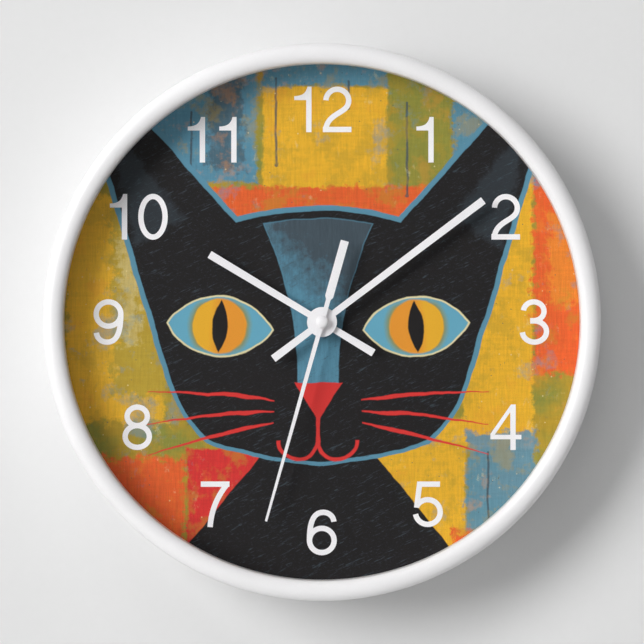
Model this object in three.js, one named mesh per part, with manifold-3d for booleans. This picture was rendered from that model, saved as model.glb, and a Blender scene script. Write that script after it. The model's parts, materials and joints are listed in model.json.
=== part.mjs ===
// A 10 inch (254 mm) round battery wall clock with a printed dial, straight baton hands and a
// 56 mm square quartz movement, built as the separate pieces that it comes apart into.
//
// Everything is modelled in the clock's face frame: x to the right and y up as the dial is read,
// and z out of the wall towards the reader, with z = 0 on the wall. The last lines turn that into
// the part's own frame, where +Z is up, -Y is the front and the origin is the middle of the case.
import * as THREE from "three";
import { mergeVertices } from "three/addons/utils/BufferGeometryUtils.js";
import Module from "manifold-3d";

const wasm = await Module();
wasm.setup();

// ---------------------------------------------------------------- driving dimensions, in mm

const CASE_RADIUS = 127;
const CASE_DEPTH = 41;
const OPENING_RADIUS = 117.75;

const LENS_THICKNESS = 2;
const DIAL_THICKNESS = 0.8;
const FLOOR_THICKNESS = 2;
const SLIP = 0.1; // gap between two flat pieces that rest on each other
const CASE_SEGMENTS = 60; // sides of the big turned pieces

const MOVEMENT_SIDE = 56;
const MOVEMENT_REAR = 2.8;
const MOVEMENT_DEPTH = 16.5;
const MOVEMENT_SKIN = 1.2;

const HAND_THICKNESS = 0.4;
const HUB_RADIUS = 6.85;
const HOUR_HAND = { angle: 301, tip: 60, tail: 27.5, hubWidth: 2.9, endWidth: 3.6 };
const MINUTE_HAND = { angle: 53, tip: 92.3, tail: 27.9, hubWidth: 2.9, endWidth: 3.6 };
const SECOND_HAND = { angle: 195.7, tip: 94.5, hubWidth: 2.1, endWidth: 1.1 };
const COUNTERWEIGHT = { start: 10.6, end: 38.5, width: 3.8 };

const SCREW_CIRCLE = 122.3;
const SCREW_COUNT = 6;

const BATTERY_RADIUS = 7.25;
const BATTERY_LENGTH = 49.5;
const BATTERY_Y = -19.3;

// ---------------------------------------------------------------- depths that follow from them

const MOVEMENT_FRONT = MOVEMENT_REAR + MOVEMENT_DEPTH;
const FLOOR_FRONT = MOVEMENT_FRONT + FLOOR_THICKNESS;
const DIAL_BACK = FLOOR_FRONT + SLIP;
const DIAL_FRONT = DIAL_BACK + DIAL_THICKNESS;
const HAND_SPACE = 12.1;
const LENS_BACK = DIAL_FRONT + HAND_SPACE;
const LENS_FRONT = LENS_BACK + LENS_THICKNESS;
const CASE_BORE = OPENING_RADIUS + 1.95;
const INSERT_RADIUS = CASE_BORE - 0.3;

// Heights above the movement's rear face.
const level = (height) => MOVEMENT_REAR + height;
const PLATE = [level(11.3), level(12.3)];
const LID = [level(15.5), level(16.5)];
const BUSH_FRONT = DIAL_FRONT + 3;
const HOUR_HAND_Z = BUSH_FRONT + 1.4;
const MINUTE_HAND_Z = HOUR_HAND_Z + 1.8;
const SECOND_HAND_Z = MINUTE_HAND_Z + 2.2;

// ---------------------------------------------------------------- materials

const paint = (color, roughness, metalness = 0) =>
  new THREE.MeshStandardMaterial({ color, roughness, metalness });
const WHITE_PLASTIC = paint(0xf3f3f1, 0.35);
const PRINT = paint(0x2a2728, 0.5);
const HAND_WHITE = paint(0xf4f6f8, 0.4);
const BLACK_PLASTIC = paint(0x1c1c1e, 0.5);
const IVORY_PLASTIC = paint(0xe6e0cf, 0.45);
const STEEL = paint(0xb9bcc0, 0.3, 1);
const BRASS = paint(0xc9a24a, 0.3, 1);
const COPPER = paint(0xb86b3c, 0.35, 1);
const MAGNET = paint(0x3d3c40, 0.4, 0.6);
const BOARD_GREEN = paint(0x2c6b46, 0.5);
const RUBBER = paint(0x2b2b2b, 0.9);
const CELL_BLUE = paint(0x3f7f9c, 0.35, 0.2);
const CLEAR = paint(0xffffff, 0.05);
CLEAR.transparent = true;
CLEAR.opacity = 0.25;

// ---------------------------------------------------------------- solids

/** A geometry with its vertices merged, as a manifold-3d solid. */
function solid(geometry) {
  const bare = new THREE.BufferGeometry();
  bare.setAttribute("position", geometry.getAttribute("position"));
  bare.setIndex(geometry.index);
  const merged = mergeVertices(bare, 1e-4);
  return new wasm.Manifold(
    new wasm.Mesh({
      numProp: 3,
      vertProperties: merged.attributes.position.array,
      triVerts: new Uint32Array(merged.index.array),
    }),
  );
}

const join = (first, ...rest) => rest.reduce((all, next) => all.add(next), first);
const cut = (body, ...tools) => tools.reduce((left, tool) => left.subtract(tool), body);

/** A closed profile of [radius, z] points turned about the hand axis. */
function turned(profile, segments) {
  const points = [...profile, profile[0]].map(([r, z]) => new THREE.Vector2(r, z));
  return solid(new THREE.LatheGeometry(points, segments).rotateX(Math.PI / 2));
}

/** A flat shape in x and y, from depth back to depth front. */
function slab(shape, [back, front], curveSegments = 12) {
  const options = { depth: front - back, bevelEnabled: false, curveSegments };
  return solid(new THREE.ExtrudeGeometry(shape, options).translate(0, 0, back));
}

/** A round bar parallel to the hand axis. */
function rod(radius, [back, front], [x, y] = [0, 0], segments = 16) {
  const bar = new THREE.CylinderGeometry(radius, radius, front - back, segments);
  return solid(bar.rotateX(Math.PI / 2).translate(x, y, (back + front) / 2));
}

function block([x0, x1], [y0, y1], [z0, z1]) {
  const box = new THREE.BoxGeometry(x1 - x0, y1 - y0, z1 - z0);
  return solid(box.translate((x0 + x1) / 2, (y0 + y1) / 2, (z0 + z1) / 2));
}

/** A round bar along x. */
function bar(radius, [x0, x1], y, z, segments = 24) {
  const cylinder = new THREE.CylinderGeometry(radius, radius, x1 - x0, segments);
  return solid(cylinder.rotateZ(Math.PI / 2).translate((x0 + x1) / 2, y, z));
}

function outline(points) {
  return new THREE.Shape(points.map(([x, y]) => new THREE.Vector2(x, y)));
}

function roundedRectangle(x0, x1, y0, y1, radius) {
  const shape = new THREE.Shape();
  const corners = [[x1, y1, 0], [x0, y1, 1], [x0, y0, 2], [x1, y0, 3]];
  for (const [x, y, quarter] of corners) {
    const inX = x === x1 ? x - radius : x + radius;
    const inY = y === y1 ? y - radius : y + radius;
    const start = (quarter * Math.PI) / 2;
    shape.absarc(inX, inY, radius, start, start + Math.PI / 2);
  }
  return shape;
}

const polar = (radius, degrees) => {
  const angle = THREE.MathUtils.degToRad(degrees);
  return [radius * Math.cos(angle), radius * Math.sin(angle)];
};
const plus = ([x, y], [dx, dy]) => [x + dx, y + dy];

// ---------------------------------------------------------------- gears

const PRESSURE_ANGLE = THREE.MathUtils.degToRad(20);
const BACKLASH = 0.09;
const involute = (angle) => Math.tan(angle) - angle;

/**
 * An involute gear outline. A small pinion takes a positive shift, and its wheel the same negative
 * one, so that the leaves aren't undercut and the centre distance stays half the sum of the teeth.
 */
function gearOutline({ teeth, module, shift, phase, steps, addendum = 1 + shift }) {
  const pitch = (module * teeth) / 2;
  const base = pitch * Math.cos(PRESSURE_ANGLE);
  const root = pitch - module * (1.25 - shift);
  const tip = pitch + module * addendum;
  const pitchHalf =
    (Math.PI / 2 + 2 * shift * Math.tan(PRESSURE_ANGLE)) / teeth - BACKLASH / (4 * pitch);
  const half = (radius) => {
    const at = Math.acos(base / Math.max(radius, base));
    return pitchHalf + involute(PRESSURE_ANGLE) - involute(at);
  };
  const start = Math.max(base, root);
  const radii = root < start && steps > 1 ? [root] : [];
  for (let i = 0; i <= steps; i++) radii.push(start + ((tip - start) * i) / steps);
  if (steps === 1) radii[0] = root;
  const points = [];
  for (let tooth = 0; tooth < teeth; tooth++) {
    const middle = phase + (2 * Math.PI * tooth) / teeth;
    for (const r of radii) points.push([r, middle - half(r)]);
    for (const r of radii.toReversed()) points.push([r, middle + half(r)]);
  }
  return outline(points.map(([r, a]) => [r * Math.cos(a), r * Math.sin(a)]));
}

/** The phase that meshes a gear with one whose phase is known, seen along direction from it. */
function meshedPhase(phase, teeth, otherTeeth, degrees) {
  const direction = THREE.MathUtils.degToRad(degrees);
  const pastTooth = (direction - phase) % ((2 * Math.PI) / teeth);
  return direction + Math.PI + (pastTooth * teeth) / otherTeeth + Math.PI / otherTeeth;
}

const WHEEL_STEPS = 1;
const PINION_STEPS = 2;
const PINION_ADDENDUM = 1.3;

function wheel(teeth, module, shift, phase, depths, at = [0, 0]) {
  const shape = gearOutline({ teeth, module, shift: -shift, phase, steps: WHEEL_STEPS });
  return slab(shape, depths).translate([...at, 0]);
}

function pinion(teeth, module, shift, phase, depths, at = [0, 0]) {
  const shape = gearOutline({
    teeth, module, shift, phase, steps: PINION_STEPS, addendum: PINION_ADDENDUM,
  });
  return slab(shape, depths).translate([...at, 0]);
}

// The train, from the motor to the hands: 8:40 and 8:48 turn the rotor's half turn each second
// into one turn a minute, 8:60 and 8:64 turn that into one an hour, and 12:36 with 10:40 make
// the hour hand's one turn in twelve.
const ROTOR = { pinion: 8, wheel: 40, shift: 0.53, distance: 7.2, direction: 40 };
const SECONDS = { pinion: 8, wheel: 48, shift: 0.53, distance: 10.36, direction: 30 };
const THIRD = { pinion: 8, wheel: 60, shift: 0.53, distance: 10.2, direction: 170 };
const CENTRE = { pinion: 8, wheel: 64, shift: 0.53, distance: 10.2, direction: 170 };
const MOTION = { pinion: 12, wheel: 36, shift: 0.3, distance: 8.4, direction: 80 };
const HOURS = { pinion: 10, wheel: 40, shift: 0.4, distance: 8.4, direction: 80 };
const SETTING = { pinion: 12, wheel: 36, shift: 0.3, distance: 8.4, direction: 110 };
for (const pair of [ROTOR, SECONDS, THIRD, CENTRE, MOTION, HOURS, SETTING]) {
  pair.module = (2 * pair.distance) / (pair.pinion + pair.wheel);
}

const INTERMEDIATE_AT = polar(SECONDS.distance, SECONDS.direction);
const ROTOR_AT = plus(INTERMEDIATE_AT, polar(ROTOR.distance, ROTOR.direction));
const THIRD_AT = polar(THIRD.distance, THIRD.direction);
const MOTION_AT = polar(MOTION.distance, MOTION.direction);
const KNOB_AT = plus(MOTION_AT, polar(SETTING.distance, SETTING.direction));

const PIVOT = 0.5;
const PIVOT_HOLE = 0.75;
const PIVOT_REAR = level(2);
const ARBOR = 0.9;

// ---------------------------------------------------------------- case

/** The front ring: a channel with a rounded nose, open at the back, with a boss for each screw. */
function makeRim() {
  const noseBase = CASE_DEPTH - 4;
  const crest = CASE_RADIUS - 4.9;
  const seat = LENS_FRONT + SLIP;
  const lipTop = CASE_DEPTH - 3.2;
  const profile = [[CASE_RADIUS - 0.6, 0], [CASE_RADIUS, noseBase - 3]];
  for (let i = 0; i <= 5; i++) {
    const turn = (i / 5) * (Math.PI / 2);
    profile.push([
      crest + (CASE_RADIUS - crest) * Math.cos(turn),
      noseBase + (CASE_DEPTH - noseBase) * Math.sin(turn),
    ]);
  }
  for (let i = 1; i <= 3; i++) {
    const turn = (i / 3) * (Math.PI / 2);
    profile.push([
      OPENING_RADIUS + (crest - OPENING_RADIUS) * (1 - Math.sin(turn)),
      lipTop + (CASE_DEPTH - lipTop) * Math.cos(turn),
    ]);
  }
  const innerSkin = CASE_BORE + 1.6;
  const outerSkin = CASE_RADIUS - 2.4;
  const channelRoof = CASE_DEPTH - 9;
  profile.push([OPENING_RADIUS, seat], [CASE_BORE, seat], [CASE_BORE, 4.4], [innerSkin, 4.4]);
  profile.push([innerSkin, channelRoof], [outerSkin, channelRoof], [outerSkin, 0]);
  let ring = turned(profile, CASE_SEGMENTS);
  for (let i = 0; i < SCREW_COUNT; i++) {
    const at = polar(SCREW_CIRCLE, 90 + (i + 0.5) * (360 / SCREW_COUNT));
    ring = join(ring, rod(2.2, [4.4, channelRoof + 0.5], at, 12));
    ring = cut(ring, rod(1.45, [4, 18], at, 12));
  }
  return ring;
}

function makeLens() {
  const profile = [[0, LENS_BACK], [INSERT_RADIUS, LENS_BACK]];
  profile.push([INSERT_RADIUS, LENS_FRONT], [0, LENS_FRONT]);
  return turned(profile, CASE_SEGMENTS);
}

/** The white wall between dial and lens. It presses the lens against the rim's lip. */
function makeSpacerRing() {
  const inner = OPENING_RADIUS + 0.25;
  const back = DIAL_FRONT + SLIP;
  const front = LENS_BACK - SLIP;
  const profile = [[inner, back], [INSERT_RADIUS, back], [INSERT_RADIUS, front], [inner, front]];
  return turned(profile, CASE_SEGMENTS);
}

function makeDial() {
  const hole = 4.3;
  const profile = [[hole, DIAL_BACK], [INSERT_RADIUS, DIAL_BACK]];
  profile.push([INSERT_RADIUS, DIAL_FRONT], [hole, DIAL_FRONT]);
  return turned(profile, CASE_SEGMENTS);
}

const HANGER_Y = 94;
const HANGER_POST_X = 15;
const HANGER_PLATE = [1.9, 3.1];

/** The rear pan: a screwed flange, a deep wall and a ribbed floor that the movement hangs on. */
function makeBackCover() {
  const wallInner = CASE_BORE - 2.6;
  const wallOuter = CASE_BORE - 0.4;
  const flange = CASE_RADIUS - 2.7;
  const ribBack = MOVEMENT_FRONT - 4;
  const floor = [MOVEMENT_FRONT, FLOOR_FRONT];
  const profile = [[4.3, floor[0]], [wallInner, floor[0]], [wallInner, 2], [flange, 2]];
  profile.push([flange, 4.1], [wallOuter, 4.1], [wallOuter, floor[1]], [4.3, floor[1]]);
  let pan = turned(profile, CASE_SEGMENTS);
  const ribCount = 8;
  for (let i = 0; i < ribCount; i++) {
    const rib = block([46, wallInner + 1], [-0.8, 0.8], [ribBack, floor[0] + 0.5]);
    pan = join(pan, rib.rotate([0, 0, (i + 0.5) * (360 / ribCount)]));
  }
  const ringRib = [[46, ribBack], [47.6, ribBack], [47.6, floor[0] + 0.5], [46, floor[0] + 0.5]];
  pan = join(pan, turned(ringRib, 40));
  for (const side of [-1, 1]) {
    const at = [side * HANGER_POST_X, HANGER_Y];
    pan = join(pan, rod(4, [HANGER_PLATE[1] + SLIP, floor[0] + 0.5], at, 16));
    pan = cut(pan, rod(1.45, [0, 13], at, 12));
  }
  for (let i = 0; i < SCREW_COUNT; i++) {
    const at = polar(SCREW_CIRCLE, 90 + (i + 0.5) * (360 / SCREW_COUNT));
    pan = cut(pan, rod(1.6, [0, 6], at, 12));
  }
  return pan;
}

const SHANK_RADIUS = 1.15;

/** A screw driven towards the front: its head's half profile, then a shank to depth end. */
function makeScrew(head, end, [x, y]) {
  const profile = [...head, [SHANK_RADIUS, end - 1], [0, end]];
  const back = head[0][1];
  const slot = [back - 1, back + 0.8];
  const reach = 1.25;
  const body = cut(
    turned(profile, 12),
    block([-reach, reach], [-0.3, 0.3], slot),
    block([-0.3, 0.3], [-reach, reach], slot),
  );
  return body.translate([x, y, 0]);
}

/** A pan-head screw that holds the cover's flange to the rim. */
function makeCoverScrew(at) {
  const [back, face, radius] = [0.4, 1.9, 2];
  const head = [[0, back], [radius * 0.75, back + 0.1], [radius, back + 0.8], [radius, face]];
  return makeScrew([...head, [SHANK_RADIUS, face]], 12.9, at);
}

/** A countersunk screw, a little below the hanging plate's rear face. */
function makeHangerScrew(at) {
  const back = HANGER_PLATE[0] + 0.15;
  const head = [[0, back], [2.5, back], [SHANK_RADIUS, back + 1.3]];
  return makeScrew(head, 11, at);
}

/** The steel plate whose keyhole hangs on a wall screw. */
function makeHangingPlate() {
  const shape = roundedRectangle(-21, 21, HANGER_Y - 10, HANGER_Y + 10, 3);
  const keyhole = [rod(4.2, [0, 5], [0, HANGER_Y - 3.5], 20), rod(2.1, [0, 5], [0, HANGER_Y + 5])];
  const neck = block([-2.1, 2.1], [HANGER_Y - 3.5, HANGER_Y + 5], [0, 5]);
  const sink = [[0, 1.8], [2.85, 1.8], [1.45, 3.2], [0, 3.2]];
  const holes = [-1, 1].map((side) => turned(sink, 20).translate([side * HANGER_POST_X, HANGER_Y, 0]));
  return cut(slab(shape, HANGER_PLATE, 4), ...keyhole, neck, ...holes);
}

// ---------------------------------------------------------------- fixings at the dial's centre

function makeWasher() {
  const z = DIAL_FRONT + SLIP;
  return turned([[4.2, z], [6.7, z], [6.7, z + 0.4], [4.2, z + 0.4]], 24);
}

function makeNut() {
  const z = [DIAL_FRONT + 0.6, DIAL_FRONT + 2.6];
  const hexagon = new THREE.CylinderGeometry(6.2, 6.2, z[1] - z[0], 6);
  const nut = solid(hexagon.rotateX(Math.PI / 2).translate(0, 0, (z[0] + z[1]) / 2));
  return cut(nut, rod(4.2, [z[0] - 1, z[1] + 1], [0, 0], 24));
}

// ---------------------------------------------------------------- movement housing

const HALF = MOVEMENT_SIDE / 2;
const BAY_TOP = -10.6;
const POSTS = [[-20, -7.5], [20, -7.5], [-20, 18.5], [20, 14.4]];

/** The black box, open towards the dial, with the battery bay open at the back. */
function makeRearCase() {
  const depths = [level(0), LID[0] - SLIP];
  const inner = HALF - MOVEMENT_SKIN;
  let body = slab(roundedRectangle(-HALF, HALF, -HALF, HALF, 2), depths, 3);
  body = cut(
    body,
    block([-inner, inner], [BAY_TOP, inner], [level(1.5), depths[1] + 1]),
    block([-inner, inner], [-inner, BAY_TOP - 1], [level(0) - 1, depths[1] + 1]),
  );
  for (const at of POSTS) {
    body = join(body, rod(1.5, [level(1), PLATE[0] - SLIP], at, 12));
  }
  for (const at of [THIRD_AT, INTERMEDIATE_AT, ROTOR_AT, [0, 0]]) {
    const boss = cut(rod(1.8, [level(1), level(2.6)], at), rod(PIVOT_HOLE, [level(1.6), 9], at));
    body = join(body, boss);
  }
  return cut(body, rod(1.9, [0, 9], KNOB_AT));
}

/** The front lid with the threaded bush that the nut grips. */
function makeFrontCover() {
  const plate = slab(roundedRectangle(-HALF, HALF, -HALF, HALF, 2), LID, 3);
  const bush = rod(4, [LID[0], BUSH_FRONT], [0, 0], 24);
  return cut(
    join(plate, bush),
    rod(2.75, [LID[0] - 1, BUSH_FRONT + 1], [0, 0], 24),
    rod(PIVOT_HOLE, [LID[0] - 1, LID[1] + 1], MOTION_AT),
  );
}

/** The inner plate between the train and the hour work. Its outline leaves room for the coil. */
function makeTrainPlate() {
  const shape = outline([[-22.5, -9.5], [22.5, -9.5], [22.5, 15.9], [3, 15.9], [3, 21], [-22.5, 21]]);
  const holes = [THIRD_AT, INTERMEDIATE_AT, ROTOR_AT, MOTION_AT];
  return cut(
    slab(shape, PLATE),
    ...holes.map((at) => rod(PIVOT_HOLE, [PLATE[0] - 1, PLATE[1] + 1], at)),
    rod(1.9, [PLATE[0] - 1, PLATE[1] + 1]),
    rod(1.9, [PLATE[0] - 1, PLATE[1] + 1], KNOB_AT),
  );
}

// ---------------------------------------------------------------- wheels

const SEAT = 0.3; // how far a wheel's arbor reaches into the plates that hold it

/** A moulded wheel and pinion on one arbor, with a thin pivot at each end. */
function compound(at, parts, [back, front]) {
  const pivots = rod(PIVOT, [PIVOT_REAR, PLATE[1] - SEAT], at, 12);
  return join(rod(ARBOR, [back, front], at, 12), pivots, ...parts);
}

const ROTOR_PHASE = 0;
const ROTOR_SIDE_PHASE = meshedPhase(
  ROTOR_PHASE, ROTOR.pinion, ROTOR.wheel, ROTOR.direction + 180);
const SECONDS_SIDE_PHASE = 0;
const SECONDS_WHEEL_PHASE = meshedPhase(
  SECONDS_SIDE_PHASE, SECONDS.pinion, SECONDS.wheel, SECONDS.direction + 180);
const SECONDS_PINION_PHASE = 0;
const THIRD_WHEEL_PHASE = meshedPhase(
  SECONDS_PINION_PHASE, THIRD.pinion, THIRD.wheel, THIRD.direction);
const CENTRE_PHASE = 0;
const THIRD_PINION_PHASE = meshedPhase(
  CENTRE_PHASE, CENTRE.wheel, CENTRE.pinion, CENTRE.direction);
const CANNON_PHASE = 0;
const MOTION_WHEEL_PHASE = meshedPhase(
  CANNON_PHASE, MOTION.pinion, MOTION.wheel, MOTION.direction);
const HOUR_PHASE = 0;
const MOTION_PINION_PHASE = meshedPhase(
  HOUR_PHASE, HOURS.wheel, HOURS.pinion, HOURS.direction);
const KNOB_PHASE = meshedPhase(
  MOTION_WHEEL_PHASE, SETTING.wheel, SETTING.pinion, SETTING.direction);

/** The ring magnet, pressed on the rotor's plastic hub. */
function makeRotorMagnet() {
  const depths = [level(7.4), level(9.4)];
  const hole = rod(1.2, [depths[0] - 1, depths[1] + 1], ROTOR_AT);
  return cut(rod(3, depths, ROTOR_AT, 24), hole);
}

function makeRotorPinion() {
  const leaves = pinion(ROTOR.pinion, ROTOR.module, ROTOR.shift, ROTOR_PHASE,
    [level(5.3), level(6.5)], ROTOR_AT);
  return join(compound(ROTOR_AT, [leaves], [level(5), level(10)]),
    rod(1.8, [level(6.5), level(7.2)], ROTOR_AT));
}

function makeIntermediateWheel() {
  const disc = wheel(ROTOR.wheel, ROTOR.module, ROTOR.shift, ROTOR_SIDE_PHASE,
    [level(5.5), level(6.3)], INTERMEDIATE_AT);
  const leaves = pinion(SECONDS.pinion, SECONDS.module, SECONDS.shift, SECONDS_SIDE_PHASE,
    [level(6.3), level(8)], INTERMEDIATE_AT);
  return compound(INTERMEDIATE_AT, [disc, leaves], [level(5), level(8.3)]);
}

/** The sweep wheel. Its steel arbor, a separate pin, carries the second hand. */
function makeSecondsWheel() {
  const disc = wheel(SECONDS.wheel, SECONDS.module, SECONDS.shift, SECONDS_WHEEL_PHASE,
    [level(7), level(7.8)]);
  const leaves = pinion(THIRD.pinion, THIRD.module, THIRD.shift, SECONDS_PINION_PHASE,
    [level(7.8), level(9.5)]);
  return cut(join(disc, leaves, rod(1.4, [level(6.2), level(7)])),
    rod(0.6, [level(5), level(11)], [0, 0], 12));
}

const makeSecondsArbor = () => rod(0.5, [PIVOT_REAR, SECOND_HAND_Z + 0.6], [0, 0], 12);

function makeThirdWheel() {
  const disc = wheel(THIRD.wheel, THIRD.module, THIRD.shift, THIRD_WHEEL_PHASE,
    [level(8.5), level(9.3)], THIRD_AT);
  const leaves = pinion(CENTRE.pinion, CENTRE.module, CENTRE.shift, THIRD_PINION_PHASE,
    [level(9.3), level(11)], THIRD_AT);
  return compound(THIRD_AT, [disc, leaves], [level(8), level(11.1)]);
}

const MINUTE_TUBE = 1.55;
const MINUTE_BORE = 0.8;

function makeCentreWheel() {
  const disc = wheel(CENTRE.wheel, CENTRE.module, CENTRE.shift, CENTRE_PHASE,
    [level(10), level(10.8)]);
  return cut(disc, rod(MINUTE_TUBE + 0.1, [level(9), level(12)]));
}

/** The tube that carries the minute hand, with the cannon pinion moulded round it. */
function makeMinuteTube() {
  const tube = rod(MINUTE_TUBE, [level(9.9), MINUTE_HAND_Z + 0.6], [0, 0], 20);
  const cannon = pinion(MOTION.pinion, MOTION.module, MOTION.shift, CANNON_PHASE,
    [level(12.6), level(13.9)]);
  return cut(join(tube, cannon), rod(MINUTE_BORE, [level(9), MINUTE_HAND_Z + 2], [0, 0], 16));
}

function makeMotionWheel() {
  const disc = wheel(MOTION.wheel, MOTION.module, MOTION.shift, MOTION_WHEEL_PHASE,
    [level(12.8), level(13.6)], MOTION_AT);
  const leaves = pinion(HOURS.pinion, HOURS.module, HOURS.shift, MOTION_PINION_PHASE,
    [level(13.6), level(15.3)], MOTION_AT);
  return join(disc, leaves, rod(PIVOT, [PLATE[0] + SEAT, LID[1] - SEAT], MOTION_AT, 12));
}

const HOUR_TUBE = 2.5;

function makeHourWheel() {
  const disc = wheel(HOURS.wheel, HOURS.module, HOURS.shift, HOUR_PHASE,
    [level(14.3), level(15.2)]);
  const tube = rod(HOUR_TUBE, [level(14.3), HOUR_HAND_Z + 0.5], [0, 0], 24);
  return cut(join(disc, tube), rod(1.8, [level(14), HOUR_HAND_Z + 2], [0, 0], 20));
}

/** The hand-setting knob: a fluted disc behind the case on a shaft with its own pinion. */
function makeSettingKnob() {
  const flutes = 18;
  const points = [];
  for (let i = 0; i < flutes * 2; i++) points.push(polar(i % 2 ? 4.6 : 5, (i * 180) / flutes));
  const head = slab(outline(points), [0.5, MOVEMENT_REAR - 0.3]).translate([...KNOB_AT, 0]);
  const leaves = pinion(SETTING.pinion, SETTING.module, SETTING.shift, KNOB_PHASE,
    [level(12.6), level(13.9)], KNOB_AT);
  return join(head, rod(1.5, [1, level(12.7)], KNOB_AT, 12), leaves);
}

// ---------------------------------------------------------------- motor and electrics

const STATOR = [level(8), level(8.8)];
const COIL = { x: [5.5, 23.5], y: 21, z: level(8.4), radius: 4.1 };

/** The iron frame of the stepping motor: a pad round the rotor, two arms and the coil's core. */
function makeStator() {
  const [x, y] = ROTOR_AT;
  const arm = 3;
  const span = [COIL.x[0] - 3, COIL.x[1] + 3];
  const frame = join(
    rod(5.2, STATOR, ROTOR_AT, 28),
    block(span, [y - arm / 2, y + arm / 2], STATOR),
    block([span[0], span[0] + arm], [y - arm / 2, COIL.y + arm / 2], STATOR),
    block([span[1] - arm, span[1]], [y - arm / 2, COIL.y + arm / 2], STATOR),
    block(span, [COIL.y - arm / 2, COIL.y + arm / 2], STATOR),
  );
  return cut(frame, rod(3.5, [STATOR[0] - 1, STATOR[1] + 1], [x, y], 28));
}

/** The reel that the coil is wound on, with a square hole for the core. */
function makeCoilBobbin() {
  const [x0, x1] = COIL.x;
  const hole = block([x0 - 1, x1 + 1], [COIL.y - 1.7, COIL.y + 1.7], [STATOR[0] - 0.2, STATOR[1] + 0.2]);
  return cut(
    join(
      bar(2.5, COIL.x, COIL.y, COIL.z),
      bar(COIL.radius, [x0, x0 + 0.8], COIL.y, COIL.z),
      bar(COIL.radius, [x1 - 0.8, x1], COIL.y, COIL.z),
    ),
    hole,
  );
}

function makeCoilWinding() {
  const x = [COIL.x[0] + 0.9, COIL.x[1] - 0.9];
  const wound = bar(COIL.radius - 0.3, x, COIL.y, COIL.z);
  return cut(wound, bar(2.65, [x[0] - 1, x[1] + 1], COIL.y, COIL.z));
}

const BOARD = [level(3), level(3.8)];

function makeCircuitBoard() {
  const shape = outline([[-25.6, 12.5], [-4.5, 12.5], [-4.5, 25.6], [-25.6, 25.6]]);
  return cut(slab(shape, BOARD), rod(1.9, [BOARD[0] - 1, BOARD[1] + 1], POSTS[2]));
}

/** The black epoxy drop over the clock chip. */
function makeChip() {
  const z = BOARD[1] + SLIP;
  const drop = [[0, z], [2.6, z], [2.4, z + 0.5], [1.5, z + 1], [0, z + 1.2]];
  return turned(drop, 20).translate([-12, 21.5, 0]);
}

const makeQuartzCrystal = () => bar(1, [-15, -9], 15.3, BOARD[1] + 1.2, 16);

const CELL = { x: [-23.6, -23.6 + BATTERY_LENGTH], z: level(7.6) };

function makeBattery() {
  const [x0, x1] = CELL.x;
  const can = bar(BATTERY_RADIUS, [x0, x1 - 1], BATTERY_Y, CELL.z, 32);
  return join(can, bar(2.7, [x1 - 1.2, x1 - 0.2], BATTERY_Y, CELL.z, 16));
}

/** The nickel-plated strip that the cell's nub presses on. */
function makePositiveContact() {
  const x = [CELL.x[1] + 0.1, CELL.x[1] + 0.35];
  return block(x, [BATTERY_Y - 5, BATTERY_Y + 5], [CELL.z - 5, CELL.z + 5]);
}

/** The spring that presses on the cell's flat end: three turns that narrow towards it. */
function makeNegativeContact() {
  const turns = 2.5;
  const [outer, inner] = [4.4, 2.6];
  const back = -HALF + MOVEMENT_SKIN + 0.5;
  const travel = CELL.x[0] - back - 0.5;
  class Cone extends THREE.Curve {
    getPoint(t, target = new THREE.Vector3()) {
      const angle = 2 * Math.PI * turns * t;
      const radius = outer + (inner - outer) * t;
      return target.set(back + travel * t, BATTERY_Y + radius * Math.cos(angle),
        CELL.z + radius * Math.sin(angle));
    }
  }
  const wire = new THREE.Shape();
  wire.absarc(0, 0, 0.3, 0, 2 * Math.PI);
  const options = { extrudePath: new Cone(), steps: 30, curveSegments: 3, bevelEnabled: false };
  return solid(new THREE.ExtrudeGeometry(wire, options));
}

// ---------------------------------------------------------------- hands

/** A flat baton outline pointing along +y, wider towards both ends. */
function baton({ tip, tail, hubWidth, endWidth }) {
  const [h, e] = [hubWidth / 2, endWidth / 2];
  return outline([[-e, -tail], [e, -tail], [h, 0], [e, tip], [-e, tip], [-h, 0]]);
}

/** Turns a hand that points to 12 so that it points to angle, measured clockwise. */
const pointed = (hand, angle) => hand.rotate([0, 0, -angle]);

function makeHourHand() {
  const depths = [HOUR_HAND_Z, HOUR_HAND_Z + HAND_THICKNESS];
  const blade = slab(baton(HOUR_HAND), depths);
  const collet = rod(3.6, [HOUR_HAND_Z - 1.1, HOUR_HAND_Z + 0.1], [0, 0], 24);
  const hand = join(blade, rod(HUB_RADIUS, depths, [0, 0], 32), collet);
  const bore = rod(HOUR_TUBE + 0.1, [HOUR_HAND_Z - 2, HOUR_HAND_Z + 2], [0, 0], 24);
  return pointed(cut(hand, bore), HOUR_HAND.angle);
}

function makeMinuteHand() {
  const depths = [MINUTE_HAND_Z, MINUTE_HAND_Z + HAND_THICKNESS];
  const blade = slab(baton(MINUTE_HAND), depths);
  const collet = rod(2.6, [MINUTE_HAND_Z - 0.8, MINUTE_HAND_Z + 0.1], [0, 0], 20);
  const hand = join(blade, rod(HUB_RADIUS, depths, [0, 0], 32), collet);
  const bore = rod(MINUTE_TUBE + 0.1, [MINUTE_HAND_Z - 2, MINUTE_HAND_Z + 2], [0, 0], 20);
  return pointed(cut(hand, bore), MINUTE_HAND.angle);
}

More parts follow.
